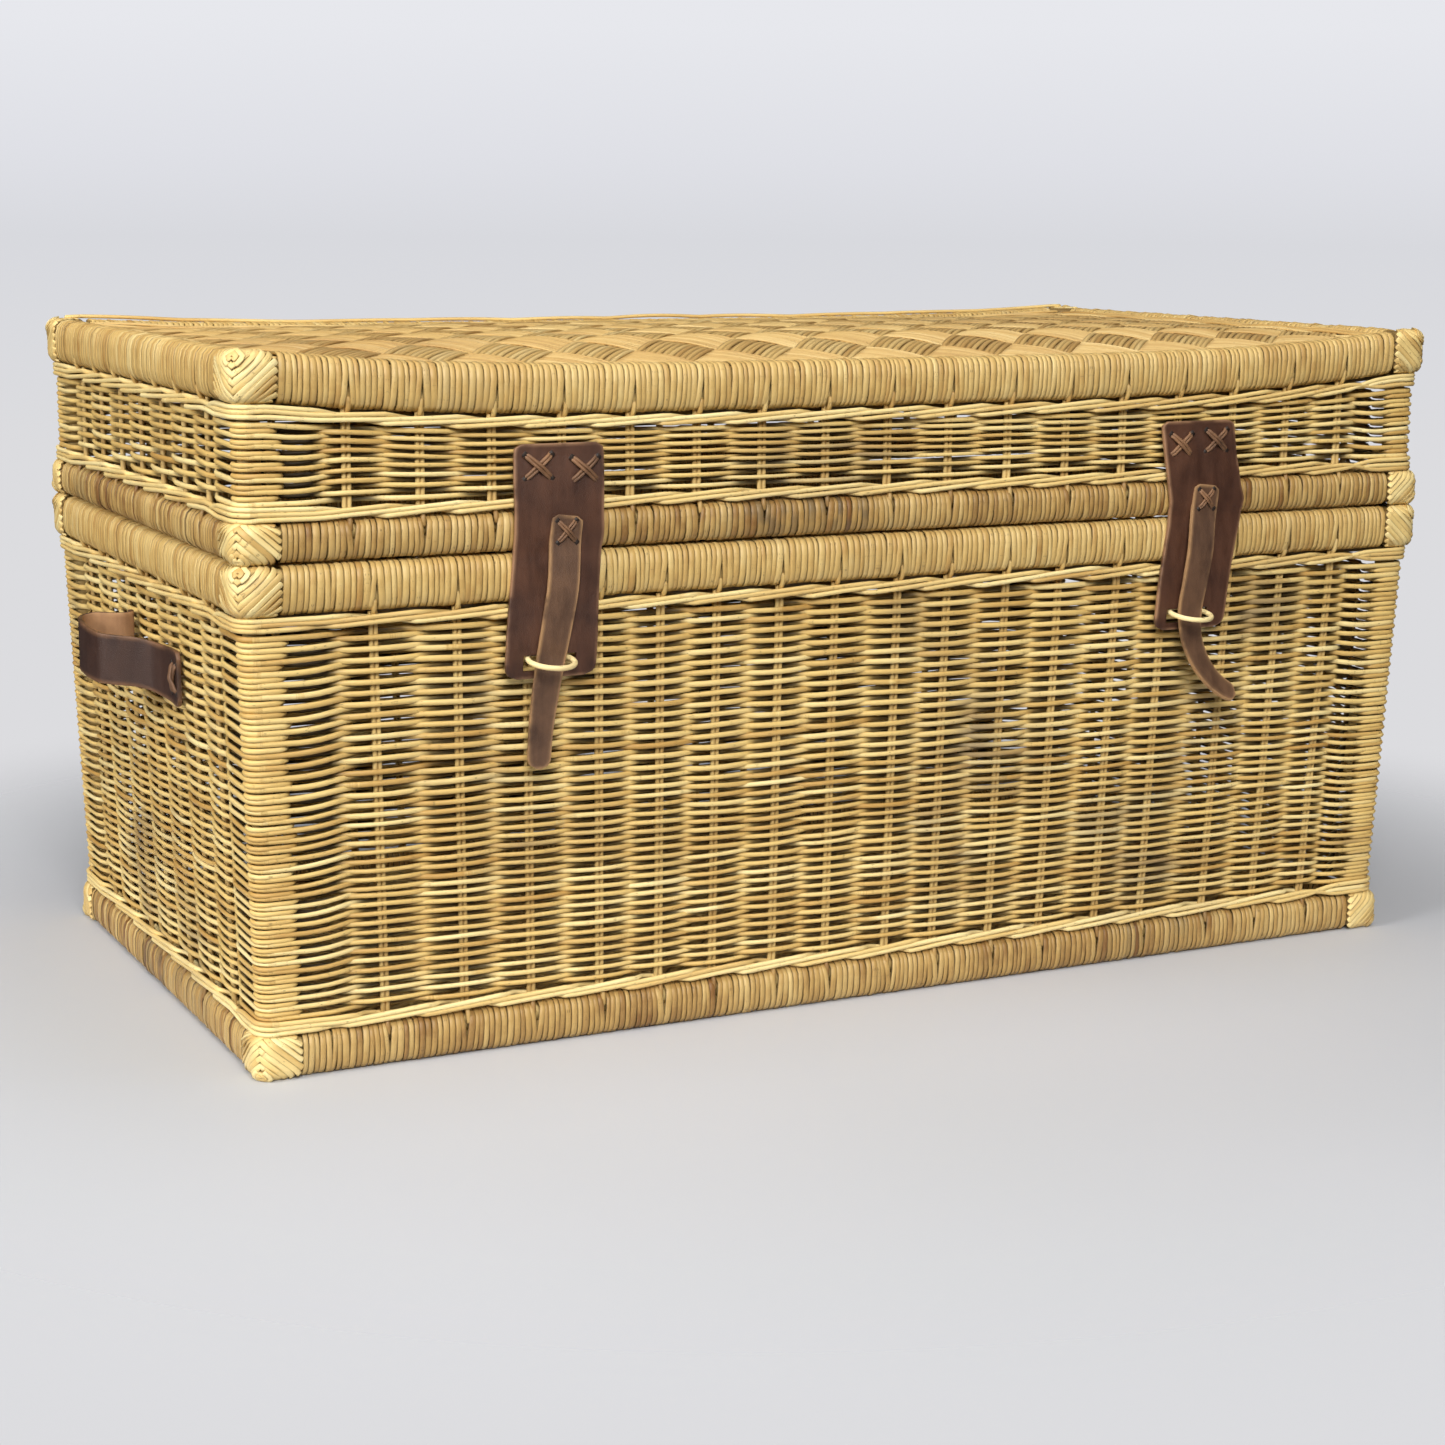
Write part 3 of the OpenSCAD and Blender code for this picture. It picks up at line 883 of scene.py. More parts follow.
    def wrap_corners(self, mesh: StrandMesh, rows: Array, gap: Array) -> None:
        """Adds the turns that go only round the corner posts.

        Args:
            mesh: Where the strands go.
            rows: The turns' heights.
            gap: The distance from each row to the next.
        """
        angle = np.linspace(0, 2 * math.pi, 18, endpoint=False)
        for sx in (-1, 1):
            for sy in (-1, 1):
                count = len(rows)
                thick = gap * self.draw.uniform(0.94, 1.03, count)
                thick = np.minimum(thick * 1.04, 0.0038)
                long = self.wrap_long + self.draw.uniform(-0.0025, 0.002, count)
                half_x = (long - thick) / 2
                half_y = np.full(count, (self.wrap_deep - 0.003) / 2)
                bend = np.minimum(half_y, 0.0078)
                cos, sin = np.cos(angle), np.sin(angle)
                x = bend[:, None] * cos + np.sign(cos.round(6)) * (half_x - bend)[:, None]
                y = bend[:, None] * sin + np.sign(sin.round(6)) * (half_y - bend)[:, None]
                inset = self.inset(rows)[:, None]
                proud = PILLAR_PROUD - (thick / 2)[:, None]
                middle_x = self.half[0] - inset + proud - half_x[:, None]
                middle_y = self.half[1] - inset + proud - half_y[:, None]
                path = np.stack([sx * (middle_x + x), sy * (middle_y + y),
                                 np.broadcast_to(rows[:, None], x.shape)], -1)
                look = np.stack([sx * cos, sy * sin, cos * 0], -1)
                look = np.broadcast_to(look, path.shape)
                # Painted shade: the corner turns take tones a quarter darker than the wall rows,
                # for the weaker light that falls on the rounded corners.
                tone = self.draw.beta(2.2, 2.2, (count, 1)) * 0.75
                mesh.sweep(path, look, thick[:, None], thick[:, None], tone, ROUND)


@dataclass
class Wale:
    """A band of three strands, each outside two stakes and inside the next."""

    node: str
    body: str
    wall: WovenWall
    seed: int
    strand: float = 0.0034
    ring_step: float = 0.0058
    corner: float = 0.012
    proud: float = 0.0013
    dive: float = 0.0078
    filler: tuple[float, float] = (0.0072, 0.0024)
    filler_in: float = 0.0088

    def build(self) -> None:
        """Makes the band round all four walls."""
        low, high = (corner.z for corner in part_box(self.node))
        rows = StrandMesh(self.node + "_strands", sags=self.body == "lid")
        draw = np.random.default_rng(self.seed)
        middle = (low + high) / 2
        swing = (high - low) / 2 - self.strand * 0.36
        sides, runs, phases, turns = [], [], [], []
        for side in Side:
            half = self.wall.half[side.is_end]
            stakes = STAKES[self.body][side.is_end]
            flat = half - self.corner
            steps = int(flat * 2 / self.ring_step)
            run = np.linspace(-flat, flat, steps)
            runs += [run, np.full(4, flat)]
            phase = np.interp(run, stakes, np.arange(len(stakes)))
            phase = phase + (run - np.clip(run, stakes[0], stakes[-1])) / 0.05
            phases += [phase, np.full(4, phase[-1])]
            turns += [np.full(steps, -1.0), np.radians([18, 36, 54, 72])]
            sides += [np.full(steps + 4, side.value)]
        side, run = np.concatenate(sides), np.concatenate(runs)
        phase, turn = np.concatenate(phases), np.concatenate(turns)
        half = np.where(side % 2, self.wall.half[1], self.wall.half[0])
        calm = ease(half - np.abs(run), 0.034, 0.07)
        for number in range(3):
            part = (phase + number + 0.5) / 3 % 1.0
            inside = ease(np.abs(part - 0.835), 0.155, 0.075)
            climb = np.where(part < 0.67, part / 0.67, (1 - part) / 0.33)
            out = self.proud - inside * calm * self.dive
            height = (climb * 2 - 1) * calm + (number - 1) * (1 - calm)
            wobble = 0.0004 * np.sin(run * draw.uniform(20, 40) + draw.uniform(0, 6))
            z = middle + swing * height + wobble
            plan = (side, run, out, turn)
            points, look = self.wall.place(plan, z[None])
            tone = self.wall.tones(1, np.arange(len(run)) / len(run))
            rows.sweep(points, look, self.strand, self.strand, tone, ROUND)
        if "upper" in self.node:  # a filler closes the gap to the rim above
            plan = (side, run, np.full(len(run), -self.filler_in), turn)
            points, look = self.wall.place(plan, np.full((1, len(run)), high + 0.0006))
            # Painted shade: the filler is darkened nearly to black, a dark strand that stands for
            # the shade behind the wale.
            rows.sweep(points, look, *self.filler, 0.2, ROUND, recess=0.9)
        dress(rows.build(), Finish.CANE_PALE, self.body, self.node)


# ---- Wrapped rims ----------------------------------------------------------------------


class Notch(Enum):
    """Where the stake tips show in a rim, as a share of its height."""

    LOW = 0.17
    HIGH = 0.83


@dataclass
class WrappedRim:
    """A rim of rods wrapped in split cane, with a plaited knot at each corner."""

    name: str
    body: str
    notch: Notch
    knots_point_down: bool
    seed: int
    finish: Finish = Finish.CANE_RIM
    turn_pitch: float = 0.0041
    strip: float = 0.0021
    knot_length: float = 0.030
    tip_reach: float = 0.0065
    tip_push: float = 0.0017

    def __post_init__(self) -> None:
        """Reads the rim's place from the frame."""
        low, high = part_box(f"{self.name}_wrap_front")
        self.low, self.high = low.z, high.z
        self.deep = high.y - low.y
        self.reach = {0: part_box(f"{self.name}_wrap_sides")[1].x, 1: -low.y}
        self.draw = np.random.default_rng(self.seed)

    def stakes(self, end: int) -> Array:
        """Where the stakes meet this rim, along a long wall (0) or an end wall (1)."""
        squeeze = self.reach[end] / (self.reach[end] + 0.009) if self.low < FOOT / 2 else 1.0
        return STAKES[self.body][end] * squeeze

    def section(self, count: int) -> tuple[Array, Array, Array, Array]:
        """The loop of a turn across the rim.

        Args:
            count: How many rings a turn has.

        Returns:
            Distances in from the outer face, heights, and the outward directions.
        """
        angle = (np.arange(count) + 0.5) / count * 2 * math.pi
        half_d, half_h = self.deep / 2, (self.high - self.low) / 2
        cos, sin = np.cos(angle), np.sin(angle)
        power = 2 / 3.1
        reach = self.strip / 2 + 0.0001
        x = np.sign(cos) * np.abs(cos) ** power * (half_d - reach)
        z = np.sign(sin) * np.abs(sin) ** power * (half_h - reach)
        return x - half_d, z + (self.low + self.high) / 2, cos * half_h, sin * half_d

    def wrap(self, mesh: StrandMesh, side: Side) -> None:
        """Adds the turns of one side.

        Args:
            mesh: Where the turns go.
            side: The side that they are on.
        """
        end = side.is_end
        pitch = self.turn_pitch * (1.12 if end else 1.0)
        length = 2 * (self.reach[end] - self.knot_length)
        count = round(length / pitch)
        uneven = 0.26 + 0.2 * end
        share = self.draw.uniform(1 - uneven, 1 + uneven, count)
        width = share * length / share.sum()
        where = np.cumsum(width) - width / 2 - length / 2
        width = width * 1.01
        out, z, look_out, look_up = self.section(14)
        puff = self.draw.normal(0, 0.00016 + 0.0001 * end, count)
        off = where[:, None] - self.stakes(end)
        off = off[np.arange(count), np.abs(off).argmin(1)]
        spread = np.sign(off) * self.tip_push * np.exp(-((off / self.tip_reach) ** 2))
        level = (z - self.low) / (self.high - self.low)
        near = np.exp(-(((level - self.notch.value) / 0.2) ** 2)) * (look_out > 0)
        lean = self.draw.normal(0, 0.0003, count)
        slope = (level - 0.5) * 2 * np.where(look_out > 0, 1, -1)
        run = where[:, None] + spread[:, None] * near + (lean[:, None] + 0.0005) * slope
        across = self.reach[1 - end]
        look = np.stack([look_out, look_up], -1)
        look = look / np.linalg.norm(look, axis=1, keepdims=True)
        place_out = across + out + puff[:, None] * look[:, 0]
        place_z = z + puff[:, None] * look[:, 1]
        points = side.along * run[..., None] + side.out * place_out[..., None]
        points[..., 2] = place_z
        normal = side.out * look[:, :1] + UP * look[:, 1:]
        tone = self.draw.beta(4, 4, (count, 1)) * 0.6 + self.drift(where)[:, None] * 0.3 + 0.06
        tone = tone + self.draw.normal(0, 0.02 + 0.12 * end, (count, 1))
        tone = tone - 0.4 * (self.draw.uniform(0, 1, (count, 1)) < 0.035)
        thick = self.strip * self.draw.uniform(0.9, 1.1, (count, 1))
        # Painted shade darkens the two edges of each turn, where it meets the next.
        mesh.sweep(points, np.broadcast_to(normal, points.shape), width[:, None], thick,
                   tone, STRIP, seam_shade=0.85 if self.notch is Notch.HIGH else 0.6)

    def drift(self, where: Array) -> Array:
        """A slow change of tone along the rim, from 0 to 1."""
        start = self.draw.uniform(0, 6.28, 2)
        return 0.5 + 0.3 * np.sin(where * 17 + start[0]) + 0.2 * np.sin(where * 41 + start[1])

    def peg(self, mesh: StrandMesh, side: Side) -> None:
        """Adds the stake tips that show between the turns of one side.

        Args:
            mesh: Where the tips go.
            side: The side that they are on.
        """
        end = side.is_end
        across = self.reach[1 - end]
        height = self.high - self.low
        base = self.low + height * self.notch.value
        grow = 1 if self.notch is Notch.LOW else -1
        for run in self.stakes(end):
            run = run + self.draw.uniform(-0.0008, 0.0008)
            tip = self.draw.uniform(0.001, 0.0035)
            z = base + grow * np.array([-0.008, -0.003, tip])
            out = across - np.array([0.0065, 0.0036, 0.0030])
            path = side.along * run + side.out * out[:, None]
            path[:, 2] = z
            mesh.tapered(path, side.out, 0.0036, 0.0034, self.draw.uniform(0.1, 0.6), ROUND)

    def build(self) -> None:
        """Makes the wrapping of each side and the four knots."""
        sags = self.name == "top_rim"
        for label, sides in (("front", [Side.FRONT]), ("back", [Side.BACK]),
                             ("sides", [Side.LEFT, Side.RIGHT])):
            mesh = StrandMesh(f"{self.name}_turns_{label}", sags=sags)
            for side in sides:
                self.wrap(mesh, side)
                self.peg(mesh, side)
            dress(mesh.build(), self.finish, self.body, f"{self.name}_wrap_{label}")
        knots = StrandMesh(f"{self.name}_plaited_knots", sags=sags)
        for sx in (-1, 1):
            for sy in (-1, 1):
                Knot(self, sx, sy).build(knots)
        dress(knots.build(), Finish.CANE_PALE, self.body, f"{self.name}_knots")


@dataclass
class Knot:
    """One plaited corner knot: nested bands of split cane over a packed core."""

    rim: WrappedRim
    sx: int
    sy: int
    proud: float = 0.001
    corner: float = 0.0125
    fillet: float = 0.0075
    band: float = 0.0043
    slope: float = 0.88

    def __post_init__(self) -> None:
        """Works out the core's sizes."""
        self.size = self.rim.knot_length + self.proud
        self.height = self.rim.high - self.rim.low
        self.up = 1 if self.rim.knots_point_down else -1
        bend = self.fillet * math.pi / 2
        self.side_run = bend * 2 + self.height - 2 * self.fillet
        self.bend = bend

    def surface(self, run: Array, rise: Array, lift: Array | float = 0.0) -> Array:
        """A point on the core.

        Args:
            run: The distance round the corner from the knot's edge, to the right if above 0.
            rise: The distance up over the knot from its lower end, over the top at last.
            lift: How far off the core the point is.

        Returns:
            The points.
        """
        run, rise = np.broadcast_arrays(np.asarray(run, float), np.asarray(rise, float))
        arc = self.corner * math.pi / 4
        bend = np.clip(np.abs(run) / arc, 0, 1) * math.pi / 4
        past = np.maximum(np.abs(run) - arc, 0)
        inner = self.size - self.corner
        x = inner + self.corner * np.cos(math.pi / 4 - bend)
        y = inner + self.corner * np.sin(math.pi / 4 - bend) - past
        x, y = np.where(run >= 0, y, x), np.where(run >= 0, x, y)
        x, y = x - self.size / 2, y - self.size / 2
        angle = np.clip(rise / self.bend, 0, 1) * math.pi / 2
        top = np.clip((rise - (self.side_run - self.bend)) / self.bend, 0, 1) * math.pi / 2
        over = np.maximum(rise - self.side_run, 0)
        share = 1 - self.fillet / (self.size / 2) * ((1 - np.sin(angle)) + (1 - np.cos(top)))
        share = share - over / (self.size / 2)
        z = self.fillet * (1 - np.cos(angle)) + np.clip(
            rise - self.bend, 0, self.height - 2 * self.fillet) + self.fillet * np.sin(top)
        grow = 1 + lift / (self.size / 2)
        z = (z - self.height / 2) * (1 + lift / (self.height / 2)) + self.height / 2
        z = z if self.up > 0 else self.height - z
        return np.stack([x * share * grow, y * share * grow, z], -1)

    def world(self, local: Array) -> Array:
        """Puts points of the core at this knot's corner of the rim.

        Args:
            local: Points of the core, from its middle line and the rim's lower edge.

        Returns:
            The points in the trunk's frame.
        """
        middle_x = self.rim.reach[0] + self.proud - self.size / 2
        middle_y = self.rim.reach[1] + self.proud - self.size / 2
        points = local.copy()
        points[..., 0] = self.sx * (middle_x + local[..., 0])
        points[..., 1] = self.sy * (middle_y + local[..., 1])
        points[..., 2] = self.rim.low + local[..., 2]
        return points

    def lay(self, mesh: StrandMesh, run: Array, rise: Array, lift: Array | float,
            width: float) -> None:
        """Lays one band of cane over the core.

        Args:
            mesh: Where the band goes.
            run: Its course round the corner.
            rise: Its course up over the knot.
            lift: How far it stands off the core.
            width: Its width.
        """
        path = self.world(self.surface(run, rise, lift))
        above = self.world(self.surface(run, rise, lift + 0.002))
        tone = self.rim.draw.beta(2, 2)
        # The last number is painted shade at the band's two edges.
        mesh.tapered(path, unit(above - path), width, 0.0016, tone, STRIP, 0.7, 0.5)

    def build(self, mesh: StrandMesh) -> None:
        """Adds the core and its bands to the rim's mesh of knots.

        Args:
            mesh: The mesh that all knots of the rim share.
        """
        self.core(mesh)
        reach = self.size - self.corner + self.corner * math.pi / 4 - 0.0005
        step = self.band * 1.2
        first = -reach * self.slope
        number = 0
        apex = first
        while apex < self.side_run * 0.86:
            for hand in (-1, 1):
                start = max(-0.0022, (0.001 - apex) / self.slope)
                stop = min(reach, (self.side_run + 0.010 - apex) / self.slope)
                if stop - start < 0.004:
                    continue
                away = np.linspace(start, stop, 14)
                rise = apex + self.slope * np.abs(away)
                over = 0.0005 if (hand > 0) == (number % 2 == 0) else 0.0
                lift = -0.0007 + over * np.exp(-((away / 0.005) ** 2))
                self.lay(mesh, hand * away, rise, lift, self.band)
            apex += step
            number += 1
        centre = self.side_run * 0.80
        for size in (0.0028, 0.0072):
            turn = np.linspace(-2.6, 2.6, 15)
            square = np.abs(np.sin(turn)) + np.abs(np.cos(turn))
            self.lay(mesh, size * np.sin(turn) / square, centre + size * np.cos(turn) / square,
                     0.0004, self.band * 0.85)

    def core(self, mesh: StrandMesh) -> None:
        """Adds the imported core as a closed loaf.

        Args:
            mesh: The mesh that all knots of the rim share.
        """
        rise = np.linspace(0.0, self.side_run + self.size / 2 - self.fillet - 0.001, 16)
        round_count = 28
        reach = self.size - self.corner + self.corner * math.pi / 4
        run = np.linspace(-reach, reach, round_count // 2)
        outline = self.surface(run[None], rise[:, None], -0.0014)
        far = -outline[:, ::-1].copy()
        far[..., 2] = outline[:, ::-1, 2]
        ring = self.world(np.concatenate([outline, far], 1))
        if self.sx * self.sy * self.up < 0:
            ring = ring[:, ::-1]
        count = len(ring)
        sides = ring.shape[1]
        index = mesh.count + np.arange(count * sides).reshape(count, sides)
        start, after = index[:-1], index[1:]
        quads = np.stack([start, np.roll(start, -1, 1), np.roll(after, -1, 1), after], -1)
        mesh.points.append(ring.reshape(-1, 3))
        grain = np.zeros((count * sides, 3))
        grain[:, 2] = 0.02
        mesh.grain.append(grain)
        # Painted shade: the core is darkened, as the shade under and between its bands.
        mesh.recess.append(np.full(count * sides, 0.7))
        mesh.faces.setdefault(4, []).append(quads.reshape(-1, 4))
        mesh.faces.setdefault(sides, []).append(index[:1, ::-1])
        mesh.faces.setdefault(sides, []).append(index[-1:])
        mesh.count += count * sides


# ---- Panels and poles ------------------------------------------------------------------


@dataclass
class PlaitedPanel:
    """A panel of cane bundles plaited on the slant, each over one bundle and under the next."""

    node: str
    body: str
    bundle: float
    canes: int
    crown: float
    seed: int
    swell: float = 0.0013
    thick: float = 0.0015

    def height(self, points: Array) -> Array:
        """How far the middle of the panel swells upwards at these points.

        Args:
            points: Places on the panel.

        Returns:
            The swell at each point, in metres.
        """
        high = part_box(self.node)[1]
        x, y = points[..., 0] / high.x, points[..., 1] / high.y
        return self.crown * (1 - x**4) * (1 - y * y)

    def build(self) -> None:
        """Makes the two directions of canes, and the strands along the edges."""
        low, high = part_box(self.node)
        draw = np.random.default_rng(self.seed)
        reach = (high.x + high.y) / math.sqrt(2)
        width = self.bundle / self.canes
        middle = (low.z + high.z) / 2
        for name, hand in (("rising", 1), ("falling", -1)):
            mesh = StrandMesh(f"{self.node}_{name}_canes", sags=self.body == "lid")
            ahead = np.array([1.0, hand, 0.0]) / math.sqrt(2)
            across = np.array([-hand, 1.0, 0.0]) / math.sqrt(2)
            bundle_tone = draw.beta(2, 2, 400)
            for number in range(-int(reach / width), int(reach / width) + 1):
                offset = (number + 0.5) * width
                limits = []
                for axis, half in ((0, high.x), (1, high.y)):
                    ends = [(side * half - offset * across[axis]) / ahead[axis]
                            for side in (-1, 1)]
                    limits.append(sorted(ends))
                start = max(limit[0] for limit in limits)
                stop = min(limit[1] for limit in limits)
                if stop - start < self.bundle / 2:
                    continue
                step = self.bundle / 4
                inner = np.arange(math.ceil(start / step + 0.3), math.floor(stop / step - 0.3) + 1)
                run = np.concatenate([[start], inner * step, [stop]])
                other = np.floor(hand * run / self.bundle + 1e-6)
                mine = math.floor(offset / self.bundle)
                sign = hand * (1 - 2 * ((mine + other) % 2))
                swell = self.swell * sign * np.abs(np.sin(math.pi * run / self.bundle)) ** 0.7
                sway = 0.0006 * np.sin(run * 21 + draw.uniform(0, 6.3))
                path = ahead * run[:, None] + across * (offset + sway)[:, None]
                path[:, 2] = middle + self.height(path) + swell
                tone = 0.55 * draw.beta(2, 2) + 0.45 * bundle_tone[mine + 200]
                size = width * draw.uniform(1.0, 1.12)
                # Painted shade darkens the two edges of each cane, where it meets its neighbours.
                mesh.sweep(path[None], UP, size, self.thick, tone, SPLIT, closed=False, seam_shade=0.35)
            dress(mesh.build(), Finish.CANE_PLAIT, self.body, self.node)
        self.edge(high, draw)

    def edge(self, high: Vector, draw: np.random.Generator) -> None:
        """Adds the long strands that lie over the ends of the canes.

        Args:
            high: The highest corner of the panel.
            draw: The source of variation.
        """
        mesh = StrandMesh(f"{self.node}_edge_strands", sags=self.body == "lid")
        for side in Side:
            half, across = (high.y, high.x) if side.is_end else (high.x, high.y)
            rings = 44 if side.is_end else 90
            for number in range(4):
                run = np.linspace(-half + 0.006, half - 0.006, rings)
                phase = draw.uniform(0, 6.3, 2)
                out = across - 0.0012 - 0.0028 * number + 0.0012 * np.sin(run * 33 + phase[0])
                path = side.along * run[:, None] + side.out * out[:, None]
                rise = 0.0010 + 0.0011 * np.sin(run * 47 + phase[1])
                path[:, 2] = high.z - 0.0008 + rise - 0.0006 * number + self.height(path) * 0.9
                mesh.tapered(path, UP, 0.0031, 0.0026, draw.uniform(0.2, 0.9), ROUND)
        dress(mesh.build(), Finish.CANE_PLAIT, self.body, self.node)


def finish_group(parts: list[bpy.types.Object], name: str) -> bpy.types.Object:
    """Joins parts into one smooth piece that stays selected.

    Args:
        parts: The objects to join; the first one stays.
        name: The piece's name.

    Returns:
        The joined piece.
    """
    pick(*parts)
    bpy.ops.object.join()
    bpy.ops.object.shade_smooth_by_angle(angle=math.radians(40))
    piece = bpy.context.object
    piece.name = piece.data.name = name
    return piece


@dataclass
class BaseSlats:
    """The three sawn slats under the base."""

    width: float = 0.032
    rounding: float = 0.0014

    def build(self) -> None:
        """Saws the slats and rounds their edges."""
        low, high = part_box("base_slats")
        planks = []
        deselect()
        for place in (low.x + self.width / 2, 0.0, high.x - self.width / 2):
            bpy.ops.mesh.primitive_cube_add(size=1, location=(place, 0, (low.z + high.z) / 2))
            plank = bpy.context.object
            plank.scale = (self.width, high.y - low.y, high.z - low.z)
            settle(plank)
            bpy.ops.object.mode_set(mode="EDIT")
            bpy.ops.mesh.select_all(action="SELECT")
            bpy.ops.mesh.bevel(offset=self.rounding, segments=3, affect="EDGES")
            bpy.ops.object.mode_set(mode="OBJECT")
            planks.append(plank)
        dress(finish_group(planks, "base_pine_slats"), Finish.PINE, "trunk", "base_slats")


@dataclass
class LidTrim:
    """What holds and edges the lid's panel: an edge cane, bent rods and three ribs."""

    cane: tuple[float, float] = (0.0031, 0.0028)
    wave_length: float = 0.094
    wave_rise: float = 0.0013
    wrap: float = 0.002
    rib_rings: int = 40
    rib_joint: float = 0.05
    rib_joint_reach: float = 0.008
    rib_slimness: float = 0.09

    def edge_cane(self) -> None:
        """Adds the thin cane that is laid in low waves along the back of the lid."""
        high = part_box("top_rim_wrap_back")[1]
        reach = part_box("top_rim_wrap_sides")[1].x
        mesh = StrandMesh("lid_edge_cane", sags=True)
        run = np.linspace(-reach + 0.014, reach - 0.014, 150)
        hump = np.abs(np.sin(run * math.pi / self.wave_length + 0.8 * np.sin(run * 5)))
        rise = self.wave_rise * hump * (0.6 + 0.4 * np.sin(run * 11 + 1))
        rise = rise + 0.0004 * np.sin(run * 29)
        path = np.stack([run, np.full_like(run, high.y - 0.0075) + 0.0012 * np.sin(run * 23),
                         high.z + 0.0006 + rise], -1)
        mesh.tapered(path, UP, *self.cane, 0.3, ROUND)
        dress(mesh.build(), Finish.CANE_PALE, "lid")

    def rods(self) -> None:
        """Bends the two rods inside each side of the top rim, which hang with it."""
        low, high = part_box("top_rim_wrap_front")
        reach = {0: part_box("top_rim_wrap_sides")[1].x, 1: -low.y}
        radius = (high.z - low.z - 2 * self.wrap) / 4
        mesh = StrandMesh("top_rim_rods_bent", sags=True)
        for side in Side:
            half = reach[side.is_end] - (0.030 if side.is_end else 0.008)
            across = reach[1 - side.is_end] - (high.y - low.y) / 2
            for shift in (-1, 1):
                path = side.along * np.linspace(-half, half, 60)[:, None] + side.out * across
                path[:, 2] = (low.z + high.z) / 2 + shift * radius
                size = 2 * radius - 0.0012
                mesh.tapered(path, side.out, size, size, 0.3, ROUND, 1.0)
        dress(mesh.build(), Finish.CANE_PALE, "lid", "top_rim_rods")

    def ribs(self) -> None:
        """Cuts the three poles under the lid panel, with the swellings of their joints."""
        low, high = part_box("lid_ribs")
        radius = (high.z - low.z) / 2
        poles = []
        deselect()
        for place in (low.x + radius, 0.0, high.x - radius):
            centre = Vector((place, 0, (low.z + high.z) / 2))
            bpy.ops.mesh.primitive_cylinder_add(vertices=20, radius=radius, depth=high.y - low.y,
                                                location=centre, rotation=(math.pi / 2, 0, 0))
            pole = settle(bpy.context.object)
            bpy.ops.object.mode_set(mode="EDIT")
            for cut in range(1, self.rib_rings):
                bpy.ops.mesh.select_all(action="SELECT")
                where = low.y + (high.y - low.y) * cut / self.rib_rings
                bpy.ops.mesh.bisect(plane_co=(0, where, 0), plane_no=(0, 1, 0))
            bpy.ops.object.mode_set(mode="OBJECT")
            for vertex in pole.data.vertices:
                away = Vector((vertex.co.x - centre.x, 0, vertex.co.z - centre.z))
                near = math.exp(-((vertex.co.y - self.rib_joint) / self.rib_joint_reach) ** 2)
                slim = 1 - self.rib_slimness * (1 - near)
                spot = np.array([Vector((centre.x, vertex.co.y, centre.z)) + away * slim])
                sag(spot)
                vertex.co = spot[0]
            poles.append(pole)
        dress(finish_group(poles, "lid_rattan_ribs"), Finish.RATTAN, "lid", "lid_ribs")


# ---- Leather ---------------------------------------------------------------------------


